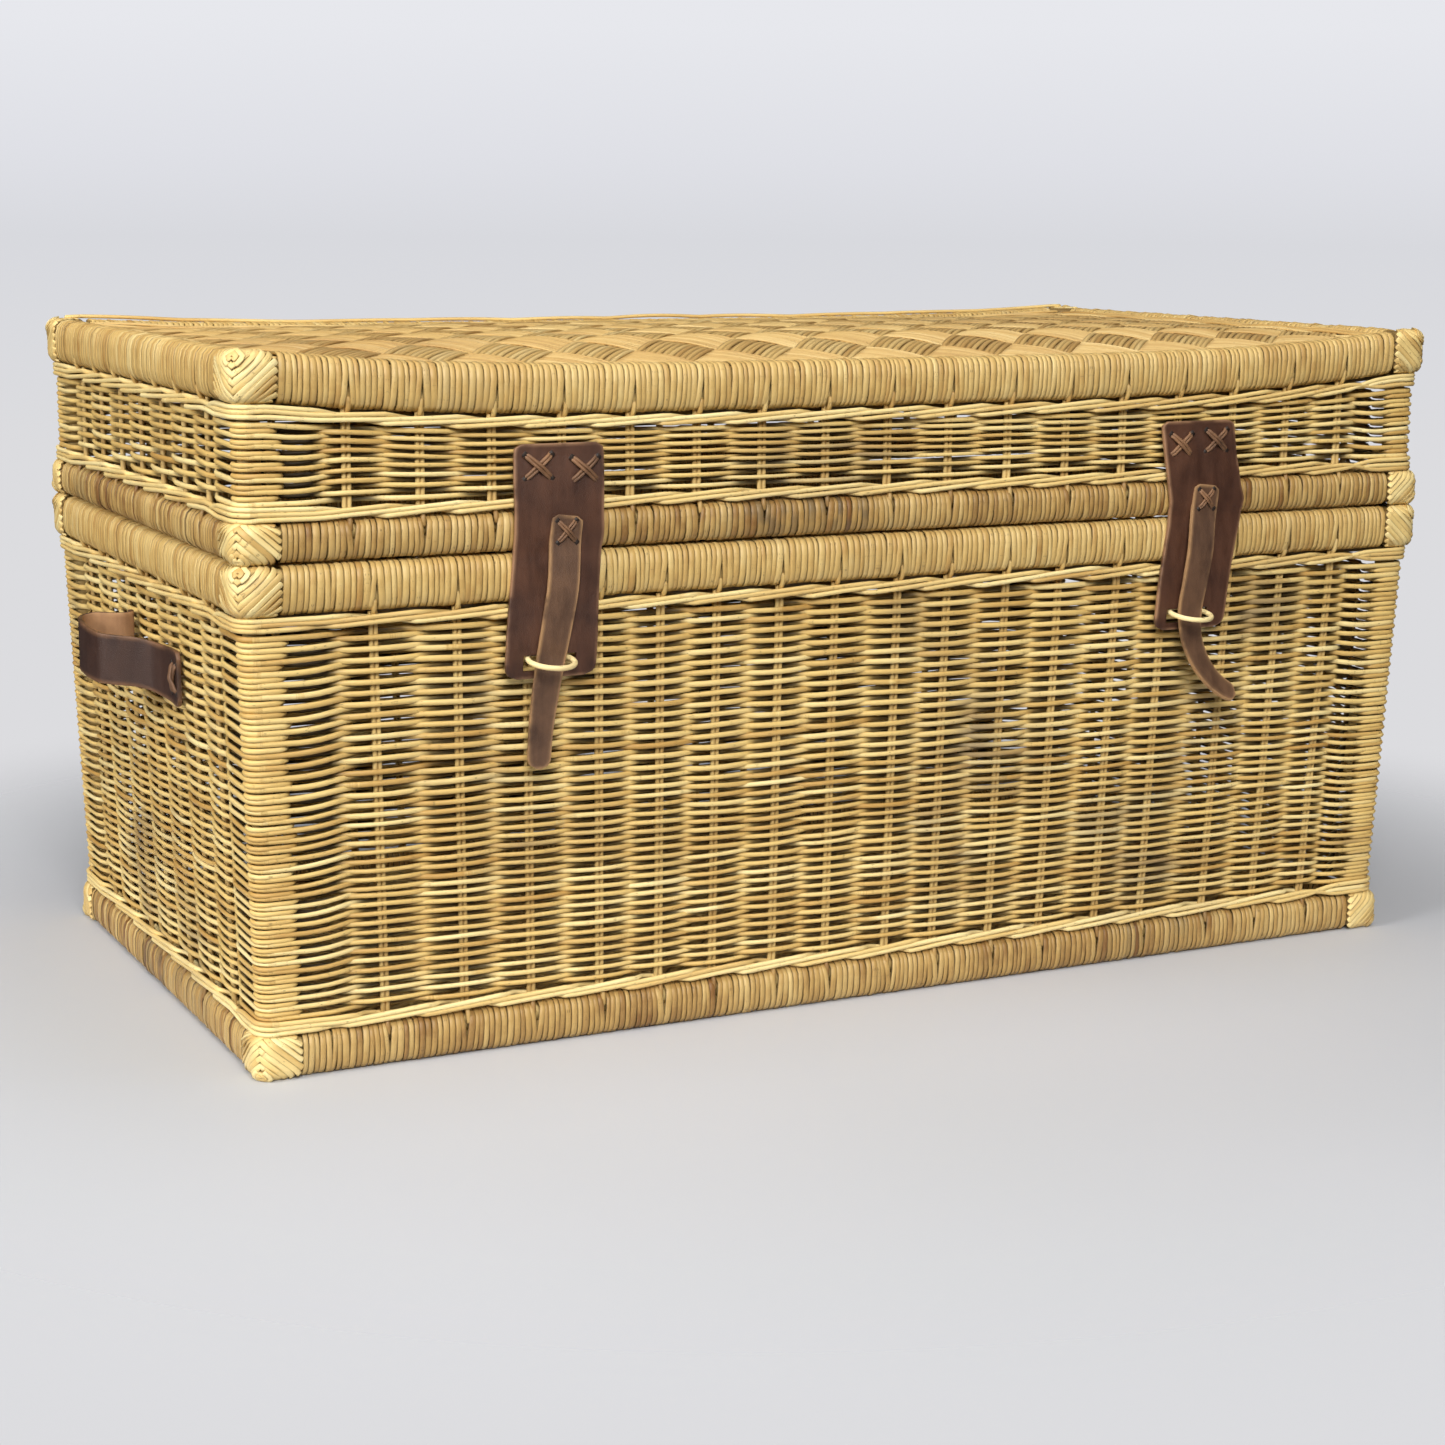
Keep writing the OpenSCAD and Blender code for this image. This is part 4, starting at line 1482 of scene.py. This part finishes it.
@dataclass
class Ribbon:
    """A strip of leather, cut flat as a grid and then laid along its course."""

    name: str
    thick: float
    columns: int
    rows: int
    centre: Array
    side: Array
    width: Array
    ends: tuple[float, float] = (0.004, 0.004)

    def lay(self) -> bpy.types.Object:
        """Cuts the sheet and lays it, with its worn edges marked.

        Returns:
            The thin sheet, which still has no thickness.
        """
        deselect()
        bpy.ops.mesh.primitive_grid_add(x_subdivisions=self.columns, y_subdivisions=self.rows,
                                        size=1)
        sheet = bpy.context.object
        sheet.name = sheet.data.name = self.name
        flat = np.zeros(len(sheet.data.vertices) * 3)
        sheet.data.vertices.foreach_get("co", flat)
        flat = flat.reshape(-1, 3)
        across, along = flat[:, 0], flat[:, 1] + 0.5
        walk = np.linalg.norm(np.diff(self.centre, axis=0), axis=1)
        walk = np.concatenate([[0], np.cumsum(walk)])
        length = walk[-1]
        where = along * length
        centre = self.follow(where, walk, self.centre)
        side = unit(self.follow(where, walk, self.side))
        width = np.interp(where, walk, self.width)
        inset = np.zeros_like(where)
        for radius, distance in zip(self.ends, (where, length - where)):
            gap = np.clip(1 - distance / radius, 0, 1)
            inset += radius * (1 - np.sqrt(1 - gap * gap))
        reach = width / 2 - np.minimum(inset, width / 2 - 0.001)
        place = centre + side * (across * 2 * reach)[:, None]
        sheet.data.vertices.foreach_set("co", place.ravel())
        rim = np.minimum(np.minimum(where, length - where), reach - np.abs(across) * 2 * reach)
        wear = np.clip(1 - rim / 0.0022, 0, 1)
        attribute = sheet.data.attributes.new("wear", "FLOAT", "POINT")
        attribute.data.foreach_set("value", wear.astype(np.float32))
        return sheet

    @staticmethod
    def follow(where: Array, walk: Array, values: Array) -> Array:
        """Smooth values along a course, through the given ones.

        Args:
            where: Distances at which values are wanted.
            walk: Distances of the given values.
            values: The given values, one row each.

        Returns:
            One row of values for each wanted distance.
        """
        slope = np.gradient(values, walk, axis=0)
        index = np.clip(np.searchsorted(walk, where, "right") - 1, 0, len(walk) - 2)
        gap = (walk[index + 1] - walk[index])[:, None]
        t = ((where - walk[index]) / gap[:, 0])[:, None]
        first, last = values[index], values[index + 1]
        return ((2 * t**3 - 3 * t**2 + 1) * first + (t**3 - 2 * t**2 + t) * gap * slope[index]
                + (3 * t**2 - 2 * t**3) * last + (t**3 - t**2) * gap * slope[index + 1])

    def cut_slot(self, sheet: bpy.types.Object, middle: Vector, half: tuple[float, float]) -> None:
        """Cuts an upright slot out of the sheet.

        Args:
            sheet: The sheet.
            middle: The middle of the slot.
            half: Half its width along X and half its height.
        """
        pick(sheet)
        for item in (*sheet.data.vertices, *sheet.data.edges):
            item.select = False
        for face in sheet.data.polygons:
            face.select = (abs(face.center.x - middle.x) < half[0]
                           and abs(face.center.z - middle.z) < half[1])
        bpy.context.tool_settings.mesh_select_mode = (False, False, True)
        bpy.ops.object.mode_set(mode="EDIT")
        bpy.ops.mesh.delete(type="FACE")
        bpy.ops.mesh.select_mode(type="VERT")
        bpy.ops.object.mode_set(mode="OBJECT")

    def thicken(self, sheet: bpy.types.Object, finish: Finish,
                lining: Finish | None = None) -> bpy.types.Object:
        """Gives the sheet its thickness and its softened edges.

        Args:
            sheet: The sheet.
            finish: The finish of its outer face.
            lining: The finish of its inner face, where that differs.

        Returns:
            The finished piece.
        """
        sheet.data.materials.append(material(finish))
        solid = sheet.modifiers.new("thickness", "SOLIDIFY")
        solid.thickness = self.thick
        solid.offset = 0
        solid.use_even_offset = True
        if lining:
            sheet.data.materials.append(material(lining))
            solid.material_offset = 1
        soft = sheet.modifiers.new("soft_edge", "BEVEL")
        soft.width = 0.0005
        soft.segments = 2
        soft.limit_method = "ANGLE"
        smooth = sheet.modifiers.new("smooth", "SUBSURF")
        smooth.levels = smooth.render_levels = 1
        apply_all(sheet)
        bpy.ops.object.shade_smooth()
        return sheet


def crossed_thongs(mesh: StrandMesh, middle: Array, right: Array, out: Array, up: Array,
                   size: tuple[float, float], cord: float = 0.0019) -> None:
    """Adds one cross of doubled thongs that dips into the leather at its four ends.

    Args:
        mesh: Where the thongs go.
        middle: The middle of the cross, on the leather's face.
        right: The direction to the right.
        out: The direction away from the leather.
        up: The direction up.
        size: The width and height of the cross.
        cord: The thickness of a thong.
    """
    wide, high = size[0] / 2, size[1] / 2
    t = np.linspace(-1, 1, 11)
    for hand, base in ((1, 0.0), (-1, cord * 0.8)):
        line = unit(right * wide + up * high * hand)
        beside = np.cross(out, line)
        for offset in (-1, 1):
            rise = cord * 0.42 + base * np.exp(-((t / 0.4) ** 2)) - 0.0022 * np.abs(t) ** 8
            shift = offset * cord * 0.5 * (1 - 0.3 * t * t)
            path = (middle + (right * wide + up * high * hand) * t[:, None]
                    + out * rise[:, None] + beside * shift[:, None])
            mesh.tapered(path, out, cord, cord * 0.9, 0.4 + 0.2 * offset, ROUND)
        # Painted shade: a thin patch, darkened nearly to black, lies over each hole as the shade
        # inside it.
        for end in (-1, 1):
            hole = middle + (right * wide + up * high * hand) * end * 1.04
            path = hole + line * np.array([-1, 0, 1])[:, None] * cord * 0.55
            mesh.tapered(path, out, cord * 1.9, 0.0005, 0.1, ROUND, 0.7, recess=1.0)


@dataclass
class Hasp:
    """A leather hasp on the front, with its closing strap, lacings and cane ring."""

    label: str
    heights: Array
    middles: Array
    widths: Array
    strap_path: Array
    strap_twist: Array

    def plate(self) -> None:
        """Makes the plate, which folds where it leaves the lid."""
        low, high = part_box("hasp_tabs")
        bottom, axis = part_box(f"hasp_{self.label}")
        face = -(low.y + high.y) / 2
        heights = np.linspace(high.z + 0.0022, bottom.z + 0.0015, 30)
        middle = np.interp(heights, self.heights[::-1], self.middles[::-1])
        wave = 0.0011 * np.sin((heights - 0.33) * 70) - 0.0008 * ease(heights, 0.375, 0.392)
        wave = wave - 0.0009 * np.exp(-(((heights - 0.3275) / 0.006) ** 2))
        centre = np.stack([middle, -(face + wave), heights], -1)
        side = np.tile(RIGHT, (30, 1))
        width = np.interp(heights, self.heights[::-1], self.widths[::-1])
        ribbon = Ribbon(f"hasp_plate_{self.label}", high.y - low.y, 26, 60, centre, side, width,
                        (0.005, 0.008))
        sheet = ribbon.lay()
        ring_low, ring_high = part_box(f"ring_{self.label}")
        where = Vector((self.ring_x, 0, (ring_low.z + ring_high.z) / 2 - 0.0007))
        ribbon.cut_slot(sheet, where, (0.0182, 0.0052))
        plate = ribbon.thicken(sheet, Finish.LEATHER_BROWN)
        dress(plate, Finish.LEATHER_BROWN, None, "hasp_tabs", f"hasp_{self.label}")
        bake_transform(plate)

    @property
    def ring_x(self) -> float:
        """Where the ring stands along the front."""
        return float(np.interp(0.2585, self.strap_path[::-1, 2], self.strap_path[::-1, 0]))

    def strap(self) -> None:
        """Makes the closing strap, whose head is laced to the plate."""
        head_low, head_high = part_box(f"strap_head_{self.label}")
        tail_low, tail_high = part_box(f"strap_{self.label}")
        lean = np.gradient(self.strap_path, axis=0)
        side = unit(np.cross(lean, FORWARD))
        twist = np.radians(self.strap_twist)[:, None]
        side = side * np.cos(twist) + FORWARD * np.sin(twist)
        side = side * np.sign(side[:, :1])
        width = np.full(len(self.strap_path), head_high.x - head_low.x)
        width *= np.interp(self.strap_path[:, 2], [0.2, 0.25, 0.3], [0.74, 0.9, 1.0])
        thick = tail_high.y - tail_low.y
        ribbon = Ribbon(f"closing_strap_{self.label}", thick, 9, 64, self.strap_path, side, width,
                        (0.004, 0.007))
        strap = ribbon.thicken(ribbon.lay(), Finish.LEATHER_GREY)
        dress(strap, Finish.LEATHER_GREY, None, f"strap_head_{self.label}",
              f"strap_{self.label}")
        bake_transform(strap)

    def ring(self) -> None:
        """Bends the cane ring that the strap passes through."""
        low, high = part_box(f"ring_{self.label}")
        wire = (high.z - low.z) / 2
        centre = Vector((self.ring_x, (low.y + high.y) / 2, (low.z + high.z) / 2))
        deselect()
        bpy.ops.mesh.primitive_torus_add(major_segments=48, minor_segments=12,
                                         major_radius=(high.x - low.x) / 2 - wire * 1.2,
                                         minor_radius=wire * 0.85)
        ring = bpy.context.object
        ring.name = ring.data.name = f"cane_ring_{self.label}"
        ring.rotation_euler = (math.radians(10), math.radians(2), 0)
        ring.location = centre
        settle(ring)
        bpy.ops.object.shade_smooth()
        place = np.array([vertex.co - centre for vertex in ring.data.vertices])
        angle = np.arctan2(place[:, 1], place[:, 0])
        grain = np.stack([np.abs(angle) * 0.0155, (place[:, 2] / wire + 1) / 2,
                          np.full(len(angle), 0.62)], -1)
        attribute = ring.data.attributes.new("grain", "FLOAT_VECTOR", "POINT")
        attribute.data.foreach_set("vector", grain.astype(np.float32).ravel())
        dress(ring, Finish.CREAM, "trunk", f"ring_{self.label}")

    def lacing(self) -> None:
        """Laces the head of the strap to the plate."""
        low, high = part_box(f"strap_head_{self.label}")
        mesh = StrandMesh(f"strap_thong_{self.label}")
        middle = np.array([self.strap_path[0, 0] - 0.001, low.y - 0.0002, high.z - 0.010])
        crossed_thongs(mesh, middle, RIGHT, FORWARD, UP, (0.0125, 0.0135))
        dress(mesh.build(), Finish.THONG, f"hasp_{self.label}", f"strap_lacing_{self.label}")

    def build(self) -> None:
        """Makes the plate, the strap, the ring and the strap's lacing."""
        self.plate()
        self.strap()
        self.ring()
        self.lacing()


def hasp_lacings(places: list[tuple[float, float]]) -> None:
    """Laces the plates to the lid.

    Args:
        places: The middle of each cross, along and up the front.
    """
    low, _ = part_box("hasp_tabs")
    mesh = StrandMesh("hasp_thongs")
    for x, z in places:
        place = np.array([x, low.y, z])
        crossed_thongs(mesh, place, RIGHT, FORWARD, UP, (0.0175, 0.0150), 0.0023)
    dress(mesh.build(), Finish.THONG, "lid", "hasp_lacings")


@dataclass
class HingeStraps:
    """The two leather hinge straps on the back, laced above and below the fold."""

    seed: int = 71

    def build(self) -> None:
        """Makes both straps and their lacings."""
        low, joint_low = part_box("hinge_lower_leaves")
        joint_high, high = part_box("hinge_upper_leaves")
        thick = high.y - low.y
        face = (low.y + high.y) / 2
        width = 0.050
        draw = np.random.default_rng(self.seed)
        for label, x in (("left", low.x + width / 2), ("right", high.x - width / 2)):
            heights = np.linspace(high.z, low.z, 24)
            wave = 0.0006 * np.sin((heights - 0.32) * 80 + draw.uniform(-0.4, 0.4))
            centre = np.stack([x + 0.0012 * np.sin(heights * 30), face + wave, heights], -1)
            side = np.tile(-RIGHT, (24, 1))
            widths = width * (1 + 0.02 * np.sin(heights * 50 + draw.uniform(0, 3)))
            ribbon = Ribbon(f"hinge_strap_{label}", thick, 16, 56, centre, side, widths,
                            (0.005, 0.005))
            strap = ribbon.thicken(ribbon.lay(), Finish.LEATHER_BROWN)
            dress(strap, Finish.LEATHER_BROWN, None, "hinge_lower_leaves", "hinge_upper_leaves")
            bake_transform(strap)
        for name, body, z in (("lower", "trunk", low.z + 0.013), ("upper", "lid", high.z - 0.013)):
            mesh = StrandMesh(f"hinge_thongs_{name}")
            for x in (low.x + width / 2, high.x - width / 2):
                for shift in (-0.012, 0.012):
                    place = np.array([x + shift, high.y, z])
                    crossed_thongs(mesh, place, -RIGHT, -FORWARD, UP, (0.015, 0.0135), 0.0022)
            dress(mesh.build(), Finish.THONG, body, f"hinge_{name}_lacings")


@dataclass
class Handle:
    """A leather loop handle on an end wall, laced down at both ends."""

    label: str
    hand: int
    plan: tuple = ((0.0015, 0.0610), (0.0018, 0.0550), (0.0035, 0.0485), (0.0095, 0.0455),
                   (0.0180, 0.0480), (0.0275, 0.0545), (0.0350, 0.0540), (0.0395, 0.0440),
                   (0.0412, 0.0260), (0.0405, 0.0080), (0.0370, -0.0040), (0.0280, -0.0105),
                   (0.0180, -0.0150), (0.0095, -0.0215), (0.0045, -0.0310), (0.0020, -0.0440),
                   (0.0019, -0.0640))
    rise: tuple = (0.006, 0.006, 0.006, 0.006, 0.006, 0.006, 0.005, 0.004, 0.003, 0.002, 0.001,
                   0.0, -0.001, -0.003, -0.005, -0.006, -0.007)

    def build(self) -> None:
        """Makes the loop."""
        ends_low, ends_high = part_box("handle_ends")
        loop_low, loop_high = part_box(f"handle_{self.label}")
        wall = ends_high.x - 0.0026
        height = loop_high.z - loop_low.z
        middle = (loop_high.z + loop_low.z) / 2
        start = ends_low.y + 0.066
        plan = np.array(self.plan)
        centre = np.stack([self.hand * (wall + plan[:, 0]), start + plan[:, 1],
                           middle + np.array(self.rise)], -1)
        width = height * np.interp(plan[:, 1], [-0.064, -0.02, 0.05], [1.1, 0.98, 1.02])
        side = np.tile(self.hand * UP, (len(plan), 1))
        ribbon = Ribbon(f"handle_loop_{self.label}", 0.0030, 10, 72, centre, side, width,
                        (0.004, 0.005))
        loop = ribbon.thicken(ribbon.lay(), Finish.LEATHER_HANDLE, Finish.SUEDE)
        dress(loop, Finish.LEATHER_HANDLE, None, "handle_ends", f"handle_{self.label}")
        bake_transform(loop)


def handle_lacings() -> None:
    """Laces both handles to the end walls."""
    low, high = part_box("handle_ends")
    middle = (low.z + high.z) / 2
    mesh = StrandMesh("handle_thongs")
    for hand in (-1, 1):
        for along, drop in ((0.0575, 0.006), (-0.0560, -0.0065)):
            place = np.array([hand * (high.x + 0.0009), low.y + 0.066 + along, middle + drop])
            crossed_thongs(mesh, place, -hand * FORWARD, hand * RIGHT, UP, (0.0095, 0.019), 0.0024)
    dress(mesh.build(), Finish.THONG, "trunk", "handle_lacings")


# ---- Studio ----------------------------------------------------------------------------


@dataclass(frozen=True)
class Lamp:
    """A square soft light that looks at the trunk."""

    name: str
    place: tuple[float, float, float]
    size: float
    power: float
    colour: Colour

    def hang(self) -> None:
        """Hangs the lamp and turns it to the trunk."""
        data = bpy.data.lights.new(self.name, "AREA")
        data.shape = "SQUARE"
        data.size = self.size
        data.energy = self.power
        data.color = self.colour
        lamp = bpy.data.objects.new(self.name, data)
        bpy.context.scene.collection.objects.link(lamp)
        lamp.location = self.place
        look = Vector((0, 0, 0.2)) - Vector(self.place)
        lamp.rotation_euler = look.to_track_quat("-Z", "Y").to_euler()


LAMPS = (
    Lamp("key", (-1.4, -3.7, 2.8), 2.0, 210.0, (1.0, 0.99, 0.965)),
    Lamp("side", (-3.2, -0.7, 1.5), 1.4, 84.0, (1.0, 0.99, 0.97)),
    Lamp("top", (0.1, -0.4, 3.0), 2.0, 24.0, (1.0, 1.0, 1.0)),
)


@dataclass
class Studio:
    """A pale floor, a backdrop, soft light from above and the camera."""

    backdrop: Colour = srgb(226, 229, 236)
    camera_at: tuple[float, float, float] = (-0.9107, -1.7936, 0.5435)
    right: tuple[float, float, float] = (0.89369, -0.44861, 0.00785)
    up: tuple[float, float, float] = (0.07810, 0.17276, 0.98186)
    ahead: tuple[float, float, float] = (0.44183, 0.87687, -0.18943)
    lens: float = 67.02
    fill: float = 0.06
    floor_fade: tuple[float, float] = (0.5, 1.0)
    dome_radius: float = 40.0

    def floor(self) -> None:
        """Lays the floor, which fades into the backdrop away from the trunk."""
        deselect()
        bpy.ops.mesh.primitive_grid_add(x_subdivisions=8, y_subdivisions=8, size=60)
        floor = bpy.context.object
        floor.name = "studio_floor"
        nodes = Nodes("studio_floor")
        place = nodes.place()
        distance = nodes.add("ShaderNodeVectorMath", {"operation": "LENGTH"}, {0: place}, "Value")
        cloud = nodes.noise(place, 1.4, 2.0)
        tint = nodes.ramp(cloud, [(0.3, srgb(194, 196, 200)), (0.7, srgb(199, 200, 205))])
        paint = nodes.add("ShaderNodeBsdfPrincipled", None,
                          {"Base Color": tint, "Roughness": 0.62, "Specular IOR Level": 0.25})
        clear = nodes.add("ShaderNodeBsdfTransparent")
        blend = nodes.add("ShaderNodeMixShader", None,
                          {0: distance.step(*self.floor_fade), 1: paint, 2: clear})
        nodes.add("ShaderNodeOutputMaterial", None, {"Surface": blend})
        floor.data.materials.append(nodes.material)

    def dome(self) -> None:
        """Hangs the backdrop, which is seen but gives no light."""
        deselect()
        bpy.ops.mesh.primitive_uv_sphere_add(segments=48, ring_count=24,
                                             radius=self.dome_radius)
        dome = bpy.context.object
        dome.name = "studio_backdrop"
        nodes = Nodes("studio_backdrop")
        height = nodes.add("ShaderNodeSeparateXYZ", None, {0: nodes.place()}, "Z")
        rise = height * (0.5 / self.dome_radius) + 0.5
        tint = nodes.ramp(rise, [(0.46, srgb(220, 220, 223)), (0.5, srgb(216, 217, 222)),
                                 (0.515, srgb(223, 224, 230)), (0.54, srgb(231, 232, 237))])
        glow = nodes.add("ShaderNodeEmission", None, {"Color": tint, "Strength": 1.0})
        nodes.add("ShaderNodeOutputMaterial", None, {"Surface": glow})
        dome.data.materials.append(nodes.material)
        dome.visible_diffuse = False
        dome.visible_glossy = False
        dome.visible_shadow = False

    def build(self) -> None:
        """Sets up the floor, the world, the lights and the camera."""
        scene = bpy.context.scene
        scene.view_settings.view_transform = "Standard"
        world = bpy.data.worlds.new("studio")
        world.use_nodes = True
        back = world.node_tree.nodes["Background"]
        back.inputs["Color"].default_value = (*self.backdrop, 1)
        back.inputs["Strength"].default_value = self.fill
        scene.world = world
        self.floor()
        self.dome()
        for lamp in LAMPS:
            lamp.hang()
        data = bpy.data.cameras.new("camera")
        data.lens = self.lens
        data.sensor_width = 36
        data.sensor_fit = "HORIZONTAL"
        data.clip_end = 100
        camera = bpy.data.objects.new("camera", data)
        scene.collection.objects.link(camera)
        columns = [Vector(self.right), Vector(self.up), -Vector(self.ahead)]
        turn = Matrix([[column[row] for column in columns] for row in range(3)])
        camera.matrix_world = Matrix.Translation(self.camera_at) @ turn.to_4x4()
        scene.camera = camera


# ---- The trunk -------------------------------------------------------------------------

CAD_FINISHES = {
    "corner_posts": Finish.RATTAN, "lid_posts": Finish.RATTAN,
    "body_stakes": Finish.RATTAN, "lid_stakes": Finish.RATTAN,
    "foot_rim_rods": Finish.RATTAN, "mouth_rim_rods": Finish.RATTAN,
    "lid_rim_rods": Finish.RATTAN,
}


def dress_cad_nodes() -> None:
    """Gives each CAD node that stays in sight its finish."""
    for name, finish in CAD_FINISHES.items():
        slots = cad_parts[name].data.materials
        slots.clear()
        slots.append(material(finish))


def build_walls() -> None:
    """Weaves both walls and their wale bands."""
    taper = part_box("mouth_rim_wrap_sides")[1].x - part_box("foot_rim_wrap_sides")[1].x
    body = WovenWall("body", "trunk", taper, 3, 0.0030, 0.00366, 0.168, 11)
    lid = WovenWall("lid", "lid", 0.0, 1, 0.0034, 0.0034, 0.5, 12, lift=0.003)
    for wall, pairs in ((body, ("body_lower_wale", "body_upper_wale")),
                        (lid, ("lid_lower_wale", "lid_upper_wale"))):
        wall.build()
        for number, node in enumerate(pairs):
            Wale(node, wall.body, wall, 40 + number).build()


def build_rims() -> None:
    """Wraps the four rims."""
    for seed, (name, body, notch, down) in enumerate((
            ("foot_rim", "trunk", Notch.HIGH, False), ("mouth_rim", "trunk", Notch.LOW, True),
            ("lid_rim", "lid", Notch.HIGH, False), ("top_rim", "lid", Notch.LOW, True))):
        finish = Finish.CANE_AGED if notch is Notch.HIGH else Finish.CANE_RIM
        WrappedRim(name, body, notch, down, 20 + seed, finish).build()


def build_hasps() -> None:
    """Makes both hasps, as each one hangs."""
    low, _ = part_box("hasp_tabs")
    plate = low.y - 0.0013
    tail = plate - 0.0005
    left = np.array([[-0.2390, plate, 0.350], [-0.2400, plate, 0.3415], [-0.2410, plate, 0.3325],
                     [-0.2418, tail - 0.0008, 0.324], [-0.2438, tail - 0.0032, 0.306],
                     [-0.2478, tail - 0.0032, 0.283], [-0.2520, tail - 0.0016, 0.2585],
                     [-0.2552, tail - 0.0004, 0.237], [-0.2578, tail + 0.0014, 0.213],
                     [-0.2592, tail + 0.0022, 0.188]])
    right = np.array([[0.2555, plate, 0.350], [0.2545, plate, 0.3415], [0.2535, plate, 0.3325],
                      [0.2518, tail - 0.0010, 0.324], [0.2490, tail - 0.0040, 0.306],
                      [0.2455, tail - 0.0040, 0.283], [0.2430, tail - 0.0022, 0.2585],
                      [0.2450, tail - 0.0030, 0.240], [0.2535, tail - 0.0060, 0.220],
                      [0.2660, tail - 0.0090, 0.206], [0.2790, tail - 0.0110, 0.198]])
    heights = np.array([0.393, 0.372, 0.350, 0.339, 0.325, 0.300, 0.275, 0.2455])
    Hasp("left", heights,
         np.array([-0.2430, -0.2438, -0.2440, -0.2438, -0.2448, -0.2468, -0.2490, -0.2510]),
         np.array([0.061, 0.0615, 0.0605, 0.0612, 0.0600, 0.0610, 0.0625, 0.0625]),
         left, np.zeros(len(left))).build()
    Hasp("right", heights,
         np.array([0.2490, 0.2505, 0.2545, 0.2575, 0.2570, 0.2530, 0.2480, 0.2450]),
         np.array([0.0620, 0.0615, 0.0625, 0.0640, 0.0620, 0.0610, 0.0605, 0.0600]),
         right, np.array([0, 0, 0, 0, 0, 0, 0, 8, 18, 28, 35])).build()
    hasp_lacings([(-0.2582, 0.3812), (-0.2265, 0.3785), (0.2330, 0.3790), (0.2632, 0.3810)])


def main() -> None:
    """Builds the trunk's sub-assemblies in order."""
    logging.basicConfig(level=logging.INFO, format="%(message)s")
    dress_cad_nodes()
    build_walls()
    build_rims()
    PlaitedPanel("lid_panel", "lid", 0.042, 10, 0.005, 31, 0.0015).build()
    PlaitedPanel("base_panel", "trunk", 0.040, 5, 0.0, 32).build()
    trim = LidTrim()
    trim.edge_cane()
    trim.rods()
    BaseSlats().build()
    trim.ribs()
    build_hasps()
    HingeStraps().build()
    for label, hand in (("left", -1), ("right", 1)):
        Handle(label, hand).build()
    handle_lacings()
    Studio().build()


if __name__ == "__main__":
    main()
